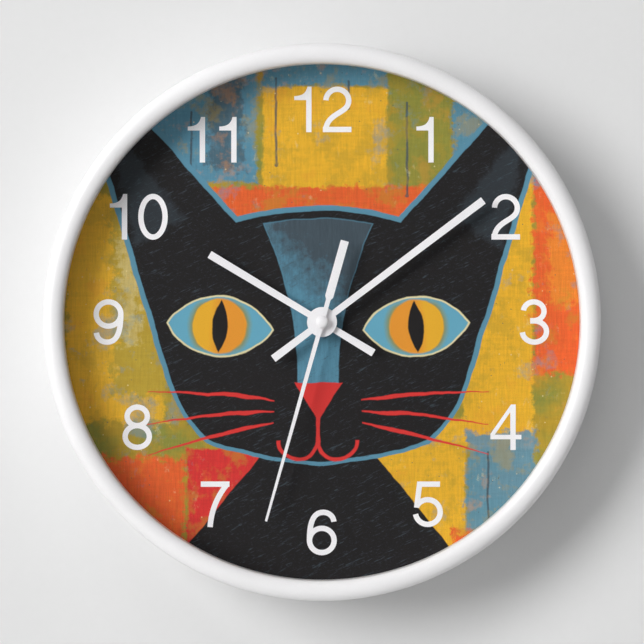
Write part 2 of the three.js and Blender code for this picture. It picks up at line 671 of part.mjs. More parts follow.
/** The needle, with a paddle on its short arm to balance it. */
function makeSecondHand() {
  const { tip, hubWidth, endWidth, angle } = SECOND_HAND;
  const { start, end, width } = COUNTERWEIGHT;
  const [h, e, w] = [hubWidth / 2, endWidth / 2, width / 2];
  const shape = outline([[e, tip], [-e, tip], [-h, 0], [-h, -start], [-w, -start - 1.4],
    [-w, -end], [w, -end], [w, -start - 1.4], [h, -start], [h, 0]]);
  const depths = [SECOND_HAND_Z, SECOND_HAND_Z + 0.3];
  const hand = join(slab(shape, depths), rod(2.6, depths, [0, 0], 24));
  return pointed(cut(hand, rod(1.1, [depths[0] - 1, depths[1] + 1])), angle);
}

/** The domed cap over the second hand, whose stem grips the arbor. */
function makeSecondHandCap() {
  const z = SECOND_HAND_Z + 0.4;
  const dome = [[0, z], [3.3, z], [3.3, z + 0.5], [2.8, z + 1.2], [1.7, z + 1.7], [0, z + 1.9]];
  const stem = rod(0.95, [SECOND_HAND_Z - 1.2, z + 0.2], [0, 0], 16);
  return cut(join(turned(dome, 24), stem), rod(0.6, [SECOND_HAND_Z - 2, z + 0.5], [0, 0], 12));
}

// ---------------------------------------------------------------- assembly

/** A solid as a named mesh. Only positions are kept, so the faces shade flat. */
function piece(name, body, material) {
  const { vertProperties, triVerts } = body.getMesh();
  const geometry = new THREE.BufferGeometry();
  geometry.setAttribute("position", new THREE.BufferAttribute(vertProperties, 3));
  geometry.setIndex(new THREE.BufferAttribute(triVerts, 1));
  geometry.computeVertexNormals();
  const mesh = new THREE.Mesh(geometry, material);
  mesh.name = name;
  return mesh;
}

const face = new THREE.Group();
face.add(
  piece("rim", makeRim(), WHITE_PLASTIC),
  piece("lens", makeLens(), CLEAR),
  piece("spacer_ring", makeSpacerRing(), WHITE_PLASTIC),
  piece("dial", makeDial(), PRINT),
  piece("back_cover", makeBackCover(), WHITE_PLASTIC),
  piece("hanging_plate", makeHangingPlate(), STEEL),
  piece("dial_washer", makeWasher(), RUBBER),
  piece("dial_nut", makeNut(), BRASS),
  piece("movement_rear_case", makeRearCase(), BLACK_PLASTIC),
  piece("movement_front_cover", makeFrontCover(), BLACK_PLASTIC),
  piece("train_plate", makeTrainPlate(), IVORY_PLASTIC),
  piece("rotor_magnet", makeRotorMagnet(), MAGNET),
  piece("rotor_pinion", makeRotorPinion(), IVORY_PLASTIC),
  piece("intermediate_wheel", makeIntermediateWheel(), IVORY_PLASTIC),
  piece("seconds_wheel", makeSecondsWheel(), IVORY_PLASTIC),
  piece("seconds_arbor", makeSecondsArbor(), STEEL),
  piece("third_wheel", makeThirdWheel(), IVORY_PLASTIC),
  piece("centre_wheel", makeCentreWheel(), IVORY_PLASTIC),
  piece("minute_tube", makeMinuteTube(), BRASS),
  piece("motion_wheel", makeMotionWheel(), IVORY_PLASTIC),
  piece("hour_wheel", makeHourWheel(), IVORY_PLASTIC),
  piece("setting_knob", makeSettingKnob(), BLACK_PLASTIC),
  piece("stator", makeStator(), STEEL),
  piece("coil_bobbin", makeCoilBobbin(), IVORY_PLASTIC),
  piece("coil_winding", makeCoilWinding(), COPPER),
  piece("circuit_board", makeCircuitBoard(), BOARD_GREEN),
  piece("chip", makeChip(), BLACK_PLASTIC),
  piece("quartz_crystal", makeQuartzCrystal(), STEEL),
  piece("battery", makeBattery(), CELL_BLUE),
  piece("positive_contact", makePositiveContact(), STEEL),
  piece("negative_contact", makeNegativeContact(), STEEL),
  piece("hour_hand", makeHourHand(), HAND_WHITE),
  piece("minute_hand", makeMinuteHand(), HAND_WHITE),
  piece("second_hand", makeSecondHand(), HAND_WHITE),
  piece("second_hand_cap", makeSecondHandCap(), HAND_WHITE),
);
for (let i = 0; i < SCREW_COUNT; i++) {
  const at = polar(SCREW_CIRCLE, 90 + (i + 0.5) * (360 / SCREW_COUNT));
  face.add(piece(`cover_screw_${i + 1}`, makeCoverScrew(at), STEEL));
}
for (const [side, name] of [[-1, "left"], [1, "right"]]) {
  const at = [side * HANGER_POST_X, HANGER_Y];
  face.add(piece(`hanger_screw_${name}`, makeHangerScrew(at), STEEL));
}

// Face frame to part frame: z out of the wall becomes -Y, y up becomes +Z.
face.rotation.x = Math.PI / 2;
face.position.y = CASE_DEPTH / 2;

const clock = new THREE.Group();
clock.add(face);

export default clock;
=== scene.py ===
"""The looks of a 10 inch round wall clock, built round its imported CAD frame.

Shapes are drawn in the clock's face frame, in millimetres: x to the right and y up as the dial is
read, and depth z out of the wall. TO_ROW turns that into the row frame, in metres.
"""

import json
import math

import bmesh
import bpy
from mathutils import Matrix, Vector
from mathutils.geometry import tessellate_polygon


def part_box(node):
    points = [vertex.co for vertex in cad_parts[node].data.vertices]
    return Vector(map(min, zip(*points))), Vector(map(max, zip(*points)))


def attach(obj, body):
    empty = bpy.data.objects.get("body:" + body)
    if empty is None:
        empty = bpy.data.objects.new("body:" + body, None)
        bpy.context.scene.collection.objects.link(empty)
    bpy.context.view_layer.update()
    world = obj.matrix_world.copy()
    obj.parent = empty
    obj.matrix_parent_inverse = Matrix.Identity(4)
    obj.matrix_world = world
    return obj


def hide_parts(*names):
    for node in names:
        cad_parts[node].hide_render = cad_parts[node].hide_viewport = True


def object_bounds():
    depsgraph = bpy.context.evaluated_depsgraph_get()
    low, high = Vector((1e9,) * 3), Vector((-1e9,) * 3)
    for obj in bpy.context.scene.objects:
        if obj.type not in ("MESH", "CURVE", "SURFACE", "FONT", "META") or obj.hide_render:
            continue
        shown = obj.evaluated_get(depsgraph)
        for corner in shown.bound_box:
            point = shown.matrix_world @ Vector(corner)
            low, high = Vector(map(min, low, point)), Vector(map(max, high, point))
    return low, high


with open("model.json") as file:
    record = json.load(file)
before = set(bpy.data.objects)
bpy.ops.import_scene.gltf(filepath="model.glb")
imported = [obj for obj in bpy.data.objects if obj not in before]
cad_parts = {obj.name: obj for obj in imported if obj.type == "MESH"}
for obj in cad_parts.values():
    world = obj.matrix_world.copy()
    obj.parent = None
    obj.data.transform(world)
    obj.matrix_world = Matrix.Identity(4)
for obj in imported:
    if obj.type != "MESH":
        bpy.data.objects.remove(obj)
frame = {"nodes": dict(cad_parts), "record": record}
CAD_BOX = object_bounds()

MM = 0.001
WALL_Y = CAD_BOX[1].y
TO_ROW = Matrix(((MM, 0, 0, 0), (0, 0, -MM, WALL_Y), (0, MM, 0, 0), (0, 0, 0, 1)))
BODY = "clock_body"
SMOOTH_ANGLE = math.radians(38)
ROUND = 192  # segments of a big turned piece
ROD_START = 2.3  # where a rod's first corner is, in degrees
SLIVER = 0.002  # edges shorter than this are dissolved


# ---------------- places taken from the frame

def depths(node):
    """(back, front) of a CAD node, as depths out of the wall."""
    low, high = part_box(node)
    return (WALL_Y - high.y) / MM, (WALL_Y - low.y) / MM


def radius(node):
    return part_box(node)[1].x / MM


def centre(node):
    low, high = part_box(node)
    return (low.x + high.x) / 2 / MM, (low.z + high.z) / 2 / MM


CASE_R = radius("rim")
CASE_DEPTH = depths("rim")[1]
OPENING_R = CASE_R - 9.25
INSERT_R = radius("dial")
BORE_R = INSERT_R + 0.3
DIAL = depths("dial")
COVER = depths("back_cover")
MOVEMENT = depths("movement_rear_case")


# ---------------- outlines

def arc(cx, cy, rx, ry, start, end, steps=24):
    """Points on an ellipse from one angle to another, in degrees, anticlockwise if end > start."""
    turns = [math.radians(start + (end - start) * i / steps) for i in range(steps + 1)]
    return [(cx + rx * math.cos(t), cy + ry * math.sin(t)) for t in turns]


def circle(r, at=(0, 0), steps=48):
    return arc(*at, r, r, 0, 360, steps)[:-1]


def bezier(p0, p1, p2, p3, steps=16):
    points = []
    for i in range(steps + 1):
        t = i / steps
        weights = ((1 - t) ** 3, 3 * t * (1 - t) ** 2, 3 * t * t * (1 - t), t ** 3)
        points.append(tuple(sum(w * p[k] for w, p in zip(weights, (p0, p1, p2, p3))) for k in (0, 1)))
    return points


def filleted(points, radii, steps=3):
    """A closed outline with each corner rounded off by its radius."""
    if not isinstance(radii, (list, tuple)):
        radii = [radii] * len(points)
    rounded = []
    for i, r in enumerate(radii):
        before, corner, after = (Vector(points[j % len(points)]) for j in (i - 1, i, i + 1))
        reach = min(r, (before - corner).length / 2.01, (after - corner).length / 2.01)
        if reach < 1e-4:
            rounded.append(tuple(corner))
            continue
        start = corner + (before - corner).normalized() * reach
        end = corner + (after - corner).normalized() * reach
        for j in range(steps + 1):
            t = j / steps
            rounded.append(tuple(start * (1 - t) ** 2 + corner * 2 * t * (1 - t) + end * t * t))
    return rounded


def rectangle(x0, x1, y0, y1, corner=0.0, steps=5):
    return filleted([(x0, y0), (x1, y0), (x1, y1), (x0, y1)], corner, steps)


def sideways(points, width, closed=False):
    """The points of a path moved to its left by half a width, one for each point of the path."""
    moved = []
    for i, point in enumerate(points):
        before = points[i - 1] if closed or i else point
        after = points[(i + 1) % len(points)] if closed or i + 1 < len(points) else point
        along = (Vector(after) - Vector(before)).normalized()
        moved.append((point[0] - along.y * width / 2, point[1] + along.x * width / 2))
    return moved


# ---------------- solids

def add_object(name, data):
    obj = bpy.data.objects.new(name, data)
    bpy.context.scene.collection.objects.link(obj)
    return obj


def from_bmesh(name, bm):
    mesh = bpy.data.meshes.new(name)
    bm.to_mesh(mesh)
    bm.free()
    return add_object(name, mesh)


def lathe(name, profile, segments=ROUND, at=(0, 0)):
    """A profile of (radius, depth) points turned about an axis out of the wall. It closes on itself,
    or begins and ends on the axis."""
    bm = bmesh.new()
    rings = []
    for r, z in profile:
        spots = [(r * c, r * s) for c, s in circle(1, steps=segments)] if r > 1e-6 else [(0, 0)]
        rings.append([bm.verts.new((x + at[0], y + at[1], z)) for x, y in spots])
    on_axis = len(rings[0]) == 1 and len(rings[-1]) == 1
    for a, b in zip(rings, rings[1:] if on_axis else rings[1:] + rings[:1]):
        for i in range(segments):
            j = (i + 1) % segments
            corners = [a[i % len(a)], a[j % len(a)], b[j % len(b)], b[i % len(b)]]
            distinct = list(dict.fromkeys(corners))
            if len(distinct) > 2:
                bm.faces.new(distinct)
    bmesh.ops.recalc_face_normals(bm, faces=bm.faces)
    return from_bmesh(name, bm)


def slab(name, outline, holes, back, front):
    """A flat outline with holes, from one depth to another."""
    loops = [[(x, y, back) for x, y in loop] for loop in (outline, *holes)]
    bm = bmesh.new()
    verts = [bm.verts.new(p) for loop in loops for p in loop]
    top = [bm.verts.new((v.co.x, v.co.y, front)) for v in verts]
    for triangle in tessellate_polygon([[Vector(p) for p in loop] for loop in loops]):
        bm.faces.new([verts[i] for i in triangle])
        bm.faces.new([top[i] for i in reversed(triangle)])
    start = 0
    for loop in loops:
        for i in range(len(loop)):
            a, b = start + i, start + (i + 1) % len(loop)
            bm.faces.new([verts[a], verts[b], top[b], top[a]])
        start += len(loop)
    bmesh.ops.dissolve_limit(bm, angle_limit=0.001, verts=bm.verts, edges=bm.edges)
    bmesh.ops.recalc_face_normals(bm, faces=bm.faces)
    return from_bmesh(name, bm)


def box(x, y, z):
    """A square-cornered block between pairs of limits, for cutting and joining."""
    return slab("block", rectangle(*x, *y), [], *z)


def rod(r, z, at=(0, 0), steps=32):
    """A round bar out of the wall, for cutting and joining. Its corners miss those of turned pieces."""
    return slab("rod", arc(*at, r, r, ROD_START, ROD_START + 360, steps)[:-1], [], *z)


def baked(obj):
    """A new mesh with the shape that an object shows."""
    graph = bpy.context.evaluated_depsgraph_get()
    return bpy.data.meshes.new_from_object(obj.evaluated_get(graph), depsgraph=graph)


def bake(obj):
    """Applies an object's modifiers to its mesh."""
    mesh = baked(obj)
    obj.modifiers.clear()
    obj.data = mesh
    return obj


def boolean(obj, tools, operation):
    """Joins or cuts obj with each tool, and removes the tools."""
    for tool in tools:
        modifier = obj.modifiers.new("tool", "BOOLEAN")
        modifier.operation = operation
        modifier.solver = "EXACT"
        modifier.object = tool
        bake(obj)
        bpy.data.objects.remove(tool)
    return obj


def join(obj, *tools):
    return boolean(obj, tools, "UNION")


def cut(obj, *tools):
    return boolean(obj, tools, "DIFFERENCE")


def soften(obj, width, segments=2, angle=35):
    """Rounds the edges that are sharper than an angle."""
    modifier = obj.modifiers.new("edges", "BEVEL")
    modifier.width = width
    modifier.segments = segments
    modifier.limit_method = "ANGLE"
    modifier.angle_limit = math.radians(angle)
    modifier.harden_normals = False
    return bake(obj)


def weld(mesh):
    """Dissolves the slivers that cuts and joints leave."""
    bm = bmesh.new()
    bm.from_mesh(mesh)
    bmesh.ops.dissolve_degenerate(bm, dist=SLIVER, edges=bm.edges)
    bm.to_mesh(mesh)
    bm.free()


def place(obj, body, slot, *nodes, turn=None):
    """Moves a finished piece from the face frame to the row frame and rides it on its body."""
    weld(obj.data)
    obj.data.transform(TO_ROW @ (turn or Matrix.Identity(4)))
    obj.data.shade_smooth()
    obj.data.set_sharp_from_angle(angle=SMOOTH_ANGLE)
    flats = obj.modifiers.new("flats", "WEIGHTED_NORMAL")
    flats.keep_sharp = True
    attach(obj, body)
    if nodes:
        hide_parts(*nodes)
    obj.data.materials.clear()
    obj.data.materials.append(MATERIALS[slot])


# ---------------- shader formulas

def colour(code):
    """A hex sRGB colour as linear RGBA."""
    levels = [int(code[i:i + 2], 16) / 255 for i in (0, 2, 4)]
    return (*[c / 12.92 if c <= 0.04045 else ((c + 0.055) / 1.055) ** 2.4 for c in levels], 1.0)


class Value:
    """A number in a node tree, with arithmetic that adds Math nodes."""

    def __init__(self, tree, socket):
        self.tree = tree
        self.socket = socket

    def op(self, name, *others):
        node = self.tree.nodes.new("ShaderNodeMath")
        node.operation = name
        for place_in, value in zip(node.inputs, (self, *others)):
            if isinstance(value, Value):
                self.tree.links.new(value.socket, place_in)
            else:
                place_in.default_value = value
        return Value(self.tree, node.outputs[0])

    def __add__(self, other):
        return self.op("ADD", other)

    def __sub__(self, other):
        return self.op("SUBTRACT", other)

    def __mul__(self, other):
        return self.op("MULTIPLY", other)

    def __truediv__(self, other):
        return self.op("DIVIDE", other)

    __radd__ = __add__
    __rmul__ = __mul__

    def __rsub__(self, other):
        return self * -1 + other

    def __abs__(self):
        return self.op("ABSOLUTE")

    def least(self, other):
        return self.op("MINIMUM", other)

    def most(self, other):
        return self.op("MAXIMUM", other)

    def length(self, other):
        return (self * self + other * other).op("SQRT")


class Shader:
    """A Principled material whose inputs are fed by procedural nodes."""

    def __init__(self, name, **inputs):
        self.material = bpy.data.materials.new(name)
        self.material.use_nodes = True
        self.tree = self.material.node_tree
        self.bsdf = self.tree.nodes["Principled BSDF"]
        self.output = self.tree.nodes["Material Output"]
        coordinates = self.node("ShaderNodeTexCoord")
        self.place = self.lighter(coordinates.outputs["Object"], 1 / MM)
        split = self.node("ShaderNodeSeparateXYZ", {0: self.place})
        self.x, _, self.y = (Value(self.tree, out) for out in split.outputs)
        for key, value in inputs.items():
            self.feed(key.title(), value)

    def node(self, kind, inputs=None, **settings):
        made = self.tree.nodes.new(kind)
        for key, value in settings.items():
            setattr(made, key, value)
        for key, value in (inputs or {}).items():
            self.link(value, made.inputs[key])
        return made

    def link(self, value, socket):
        if isinstance(value, Value):
            value = value.socket
        if isinstance(value, bpy.types.NodeSocket):
            self.tree.links.new(value, socket)
        else:
            wanted = getattr(socket.default_value, "__len__", lambda: 0)()
            socket.default_value = value[:wanted] if wanted else value

    def surface(self, share, first, second):
        """Makes the surface a mixture of two shader nodes."""
        inputs = {0: share, 1: first.outputs[0], 2: second.outputs[0]}
        self.link(self.node("ShaderNodeMixShader", inputs).outputs[0], self.output.inputs["Surface"])

    def feed(self, name, value):
        self.link(value, self.bsdf.inputs[name])

    def vector(self, operation, first, second):
        """A vector worked out from a socket and three numbers."""
        return self.node("ShaderNodeVectorMath", {0: first, 1: second}, operation=operation).outputs[0]

    def stretched(self, x, y, z):
        """The place in millimetres with its axes scaled, for streaks. y is the depth axis."""
        return self.vector("MULTIPLY", self.place, (x, y, z))

    def noise(self, scale, detail=3.0, roughness=0.55, where=None):
        """Noise from 0 to 1 about a half, with features about 1/scale mm across."""
        inputs = {"Vector": where or self.place, "Scale": scale, "Detail": detail, "Roughness": roughness}
        return Value(self.tree, self.node("ShaderNodeTexNoise", inputs).outputs[0])

    def cells(self, scale, where=None, feature="F1"):
        inputs = {"Vector": where or self.place, "Scale": scale}
        made = self.node("ShaderNodeTexVoronoi", inputs, feature=feature)
        return Value(self.tree, made.outputs["Distance"])

    def spread(self, value, low, high, to_low=0.0, to_high=1.0):
        """A value's range mapped to another, and held there."""
        limits = dict(enumerate((value, low, high, to_low, to_high)))
        return Value(self.tree, self.node("ShaderNodeMapRange", limits).outputs[0])

    def sway(self, noise, low, high):
        """Noise as a value that wanders from low to high."""
        return self.spread(noise, 0.3, 0.7, low, high)

    def mix(self, share, first, second):
        return self.node("ShaderNodeMix", {0: share, 6: first, 7: second}, data_type="RGBA").outputs[2]

    def blend(self, value, low, high, first, second):
        """Goes from one hex colour to another as a value goes from low to high."""
        return self.mix(self.spread(value, low, high), colour(first), colour(second))

    def lighter(self, base, amount):
        """A colour or a vector, scaled."""
        inputs = {0: base, "Scale": amount}
        return self.node("ShaderNodeVectorMath", inputs, operation="SCALE").outputs[0]

    def bump(self, height, distance, strength=1.0, over=None):
        """Bump from a height between 0 and 1 that stands for a distance in millimetres."""
        inputs = {"Strength": strength, "Distance": distance * MM, "Height": height}
        if over is not None:
            inputs["Normal"] = over
        normal = self.node("ShaderNodeBump", inputs).outputs[0]
        self.feed("Normal", normal)
        return normal


# ---------------- plain materials

def plastic(name, base, tint, roughness, grain):
    """Moulded plastic: clouded colour, a fine sparked grain and a few hairline scuffs."""
    s = Shader(name)
    cloud = s.noise(0.02, 2)
    speck = s.noise(1.6, 4)
    scuff = s.noise(0.25, 6, 0.7, s.stretched(1, 1, 8))
    scuffed = s.spread(scuff, 0.66, 0.72)
    shade = s.blend(cloud, 0.35, 0.65, base, tint)
    s.feed("Base Color", s.lighter(shade, s.sway(speck, 0.985, 1.01)))
    s.feed("Roughness", s.sway(speck, roughness - 0.04, roughness + 0.05) + scuffed * 0.12)
    fine = s.bump(s.noise(3.5, 3), grain)
    s.bump(scuffed, 0.002, 0.5, over=fine)
    return s.material


def metal(name, base, tint, roughness, along=(0.2, 6, 6), tarnish="6a5a44"):
    """Drawn or rolled metal: fine lines along one way, with a little tarnish in patches."""
    s = Shader(name, metallic=1.0)
    lines = s.noise(2.0, 5, 0.65, s.stretched(*along))
    patch = s.noise(0.3, 4, 0.6)
    dull = s.spread(patch, 0.58, 0.72)
    shade = s.blend(lines, 0.35, 0.65, base, tint)
    s.feed("Base Color", s.mix(dull * 0.35, shade, colour(tarnish)))
    s.feed("Roughness", s.sway(lines, roughness - 0.06, roughness + 0.1) + dull * 0.15)
    s.bump(lines, 0.003)
    return s.material


def wound_copper():
    """Enamelled wire, laid side by side round the coil, with a painted glint along each turn and painted
    shade between turns.
    """
    s = Shader("copper", metallic=0.9)
    turns = (s.x * (2 * math.pi / 0.28)).op("SINE")
    crossing = s.noise(0.8, 3, 0.6, s.stretched(3, 1, 1))
    # painted highlight and shade: the base colour is lighter on the crown of each wire turn and darker in
    # the hollows between turns
    s.feed("Base Color", s.blend(turns, -1, 1, "7a3a1c", "c87846"))
    s.feed("Roughness", s.sway(crossing, 0.22, 0.42))
    s.feed("Coat Weight", 0.6)
    s.bump(turns * 0.5 + 0.5, 0.06)
    return s.material


def sintered_magnet():
    s = Shader("magnet", metallic=0.7)
    grain = s.noise(5, 5, 0.7)
    s.feed("Base Color", s.blend(grain, 0.3, 0.7, "2c2b2f", "56545a"))
    s.feed("Roughness", s.sway(grain, 0.4, 0.65))
    s.bump(grain, 0.01)
    return s.material


def circuit_board():
    """Green mask over copper tracks that run in steps, with bright soldered rings between them."""
    s = Shader("board")
    lattice = s.cells(0.42, s.stretched(1, 0, 1), "DISTANCE_TO_EDGE")
    track = s.spread(lattice, 0.05, 0.09, 1.0, 0.0)
    pad = s.spread(s.cells(0.42, s.stretched(1, 0, 1)), 0.2, 0.26, 1.0, 0.0)
    weave = s.noise(6, 2)
    green = s.mix(track, colour("1f5a38"), colour("3c8454"))
    green = s.lighter(green, s.sway(weave, 0.92, 1.06))
    s.feed("Base Color", s.mix(pad, green, colour("c9c6bd")))
    s.feed("Metallic", pad * 0.9)
    s.feed("Roughness", s.sway(weave, 0.28, 0.42))
    s.bump(track.most(pad), 0.03)
    return s.material


def washer_rubber():
    s = Shader("rubber")
    bloom = s.noise(0.5, 5, 0.65)
    grain = s.noise(6, 3)
    s.feed("Base Color", s.blend(bloom, 0.45, 0.75, "1d1d1e", "3b3a3a"))
    s.feed("Roughness", s.sway(grain, 0.75, 0.95))
    s.bump(grain, 0.02)
    return s.material


def hand_paint():
    """White stove paint on thin metal: nearly smooth, with faint orange peel."""
    s = Shader("hand_white")
    peel = s.noise(1.1, 2)
    cloud = s.noise(0.06, 3)
    s.feed("Base Color", s.blend(cloud, 0.35, 0.65, "fdfbfd", "f6f4f7"))
    s.feed("Roughness", s.sway(peel, 0.38, 0.5))
    s.bump(peel, 0.003)
    return s.material


def clear_lens():
    """Clear moulded pane: it lets light through, mirrors a little at a slant, and holds fine dust."""
    s = Shader("lens")
    pane = s.node("ShaderNodeBsdfTransparent", {"Color": (0.997, 0.999, 0.998, 1)})
    smear = s.noise(0.03, 4, 0.6)
    gloss = s.node("ShaderNodeBsdfGlossy", {"Roughness": s.spread(smear, 0.35, 0.75, 0.02, 0.09)})
    fresnel = Value(s.tree, s.node("ShaderNodeFresnel", {"IOR": 1.49}).outputs[0])
    outside = 1 - Value(s.tree, s.node("ShaderNodeNewGeometry").outputs["Backfacing"])
    s.surface(fresnel * outside * 0.55, pane, gloss)
    s.tree.nodes.remove(s.bsdf)
    return s.material


# ---------------- the printed dial

YELLOW = colour("ebb32b")
MUSTARD = colour("b5952c")
OLIVE = colour("8f8f3c")
CREAM = colour("e6d9a8")
TEAL = colour("5a90a8")
SKY = colour("66a9c2")
ORANGE = colour("e8632c")
AMBER = colour("e9982f")
RED = colour("dc3532")
SLATE = colour("46545e")
INK = colour("1d1a1b")
FACE_MIDDLE = -1.8  # across the dial


class Print(Shader):
    """Flat shapes in brushed paint. Each shape is a signed distance in millimetres, negative inside.

    u and v are the place on the dial with a hand's wobble. side is how far u is from the face's middle,
    so what is drawn with it comes out twice.
    """

    def __init__(self):
        super().__init__("print")
        wobble = [self.noise(0.07, 4, 0.55, self.shifted(k)) - 0.5 for k in (0, 40)]
        self.u = self.x + wobble[0] * 2.4
        self.v = self.y + wobble[1] * 2.4
        self.side = abs(self.u - FACE_MIDDLE)
        self.ragged = self.noise(0.3, 6, 0.62, self.shifted(70)) - 0.5
        self.paint = INK

    def shifted(self, by):
        """The place moved along, so that one noise differs from the next."""
        return self.vector("ADD", self.place, (by, by, by))

    def leaning(self, degrees):
        """Coordinates stretched along a slanted line, for fine scratches."""
        inputs = {"Vector": self.place, "Angle": math.radians(degrees)}
        turned = self.node("ShaderNodeVectorRotate", inputs, rotation_type="Y_AXIS")
        return self.vector("MULTIPLY", turned.outputs[0], (0.12, 1, 1))

    def lay(self, tone, distance, soft=0.22, cover=1.0):
        """Paints a shape over what is there."""
        self.paint = self.mix(self.spread(distance, -soft, soft, cover, 0.0), self.paint, tone)

    def drag(self, tone, distance, ragged, cover):
        """Paints a shape with a dry brush, so that its edge breaks up and fades."""
        self.lay(tone, distance + self.ragged * ragged, 0.3 + 0.06 * ragged, cover)

    def stain(self, tone, share):
        """Mixes a tone in where the share rises above nought."""
        self.paint = self.mix(share, self.paint, tone)

    def block(self, x0, x1, y0, y1):
        across = abs(self.u - (x0 + x1) / 2) - (x1 - x0) / 2
        up = abs(self.v - (y0 + y1) / 2) - (y1 - y0) / 2
        return across.most(up)

    def oval(self, x, y, cx, cy, rx, ry):
        far = ((x - cx) / rx).length((y - cy) / ry)
        steep = ((x - cx) / rx ** 2).length((y - cy) / ry ** 2)
        return far * (far - 1) / steep.most(1e-4)

    def wedge(self, x, y, corners):
        """A convex shape from its corners, taken anticlockwise."""
        inside = None
        for (x0, y0), (x1, y1) in zip(corners, corners[1:] + corners[:1]):
            span = math.hypot(x1 - x0, y1 - y0)
            edge = (x - x0) * ((y1 - y0) / span) - (y - y0) * ((x1 - x0) / span)
            inside = edge if inside is None else inside.most(edge)
        return inside

    def overlap(self, first, second, corner):
        """What two shapes share, with its corners rounded."""
        return (first + corner).most(0.0).length((second + corner).most(0.0)) - corner

    def almond(self, x, y, half_width, half_height):
        r = (half_width ** 2 + half_height ** 2) / (2 * half_height)
        return x.length(abs(y) + (r - half_height)) - r

    def drip(self, tone, x, top, length, width=0.5):
        """A run of thin paint that ends in a small bead."""
        along = abs(self.v - (top - length / 2)) - length / 2
        run = abs(self.u - x).length(along.most(0.0)) - width
        bead = (self.u - x).length(self.v - (top - length)) - width * 1.7
        self.lay(tone, run.least(bead), 0.2, 0.85)


BLOCKS = (  # paint, (left, right, bottom, top), raggedness, cover
    (YELLOW, (-118, -72, -46, 58), 16, 0.85),
    (OLIVE, (-96, -60, -34, 66), 22, 0.55),
    (CREAM, (-92, -84, -10, 40), 18, 0.35),
    (TEAL, (-90, -30, 64, 130), 9, 1),
    (SLATE, (-52, -36, 70, 130), 16, 0.7),
    (YELLOW, (-27, 30, 60, 108), 5, 1),
    (TEAL, (-27, 30, 108, 130), 7, 1),
    (OLIVE, (32, 60, 44, 130), 14, 0.85),
    (TEAL, (60, 130, 60, 130), 12, 1),
    (ORANGE, (-60, 52, 34, 62), 9, 1),
    (YELLOW, (64, 97, -58, 72), 8, 1),
    (ORANGE, (97, 130, -24, 78), 14, 1),
    (AMBER, (104, 122, 8, 50), 20, 0.6),
    (ORANGE, (-130, -62, -130, -62), 16, 1),
    (RED, (-62, -14, -130, -58), 5, 1),
    (YELLOW, (14, 66, -130, -44), 5, 1),
    (TEAL, (66, 98, -96, -50), 12, 0.9),
    (ORANGE, (60, 130, -130, -96), 16, 1),
)
DRIPS = ((-60, 96, 34), (-21, 112, 40), (12, 110, 12), (39, 100, 42), (76, -60, 34))  # x, top, length


def paint_background(p):
    """Loose blocks of colour, dragged over each other, with a few runs down from them."""
    p.paint = p.mix(p.spread(p.noise(0.05, 5, 0.6), 0.42, 0.6), MUSTARD, OLIVE)
    for tone, edges, ragged, cover in BLOCKS:
        p.drag(tone, p.block(*edges), ragged, cover)
    for x, top, length in DRIPS:
        p.drip(SLATE, x, top, length)


def paint_wear(p):
    """Brush lines, scrapes to the cream ground, thin washes and specks over the blocks."""
    bristles = p.noise(1.1, 6, 0.7, p.stretched(1, 1, 0.08))
    crossing = p.noise(0.9, 6, 0.7, p.stretched(0.08, 1, 1))
    p.paint = p.lighter(p.paint, p.sway(bristles, 0.86, 1.1))
    p.paint = p.lighter(p.paint, p.sway(crossing, 0.92, 1.06))
    scrape = p.noise(0.22, 9, 0.76, p.stretched(1, 1, 0.6))
    p.stain(CREAM, p.spread(scrape, 0.6, 0.68, 0.0, 0.4))
    p.stain(SLATE, p.spread(scrape, 0.3, 0.38, 0.5, 0.0))
    patch = p.noise(0.07, 8, 0.66, p.shifted(120))
    p.stain(MUSTARD, p.spread(patch, 0.52, 0.6, 0.0, 0.4))
    p.stain(AMBER, p.spread(patch, 0.36, 0.44, 0.3, 0.0))
    wash = p.noise(0.05, 8, 0.7, p.shifted(90))
    p.stain(TEAL, p.spread(wash, 0.57, 0.66, 0.0, 0.45))
    p.stain(SLATE, p.spread(p.cells(0.22, p.shifted(15)), 0.05, 0.07, 0.7, 0.0))
    p.stain(CREAM, p.spread(p.cells(0.17, p.shifted(33)), 0.05, 0.07, 0.6, 0.0))


def paint_head(p):
    """A plain cat's head that narrows to the chin, with two pointed ears, over a broad chest."""
    x, y = p.side, p.v
    chest = p.wedge(x, y, [(-90, -130), (82, -130), (24, -58), (-90, -58)])
    cheek = p.wedge(x, y, [(-90, -90), (57, -62), (114, 131), (-90, 131)])
    skull = p.overlap(p.oval(x, y, 0, -7, 88, 58), cheek, 14)
    ear = p.wedge(x, y, [(25, 31), (73, -8), (114, 131)])
    head = skull.least(ear)
    p.lay(INK, chest)
    p.lay(TEAL, head - 2.4)
    p.lay(INK, head)
    inner = p.wedge(x, y, [(62, 48), (84, 34), (96, 92)])
    p.lay(SLATE, inner + p.ragged * 10, 1.5, 0.3)
    rise = p.spread(y, -28, 54)
    blaze = (x - (rise * rise * 20 + 9)).most(-28 - y).most(head + 3.5)
    streak = p.noise(0.9, 7, 0.7, p.stretched(1, 1, 0.1))
    shade = p.mix(p.spread(y + p.u * 0.9 + p.ragged * 50, 0, 30), TEAL, SLATE)
    shade = p.lighter(shade, p.sway(streak, 0.78, 1.12))
    p.lay(shade, blaze)
    p.lay(TEAL, abs(blaze) - 0.25, 0.2, 0.6)
    fur = p.spread(head.least(chest), -0.6, 0, 0.6, 0.0)
    scuff = p.noise(1.1, 8, 0.8, p.stretched(0.6, 1, 1))
    p.stain(SLATE, p.spread(scuff, 0.56, 0.68) * fur)
    scratch = p.noise(1.5, 4, 0.6, p.leaning(25))
    p.stain(SLATE, p.spread(scratch, 0.6, 0.68) * fur)


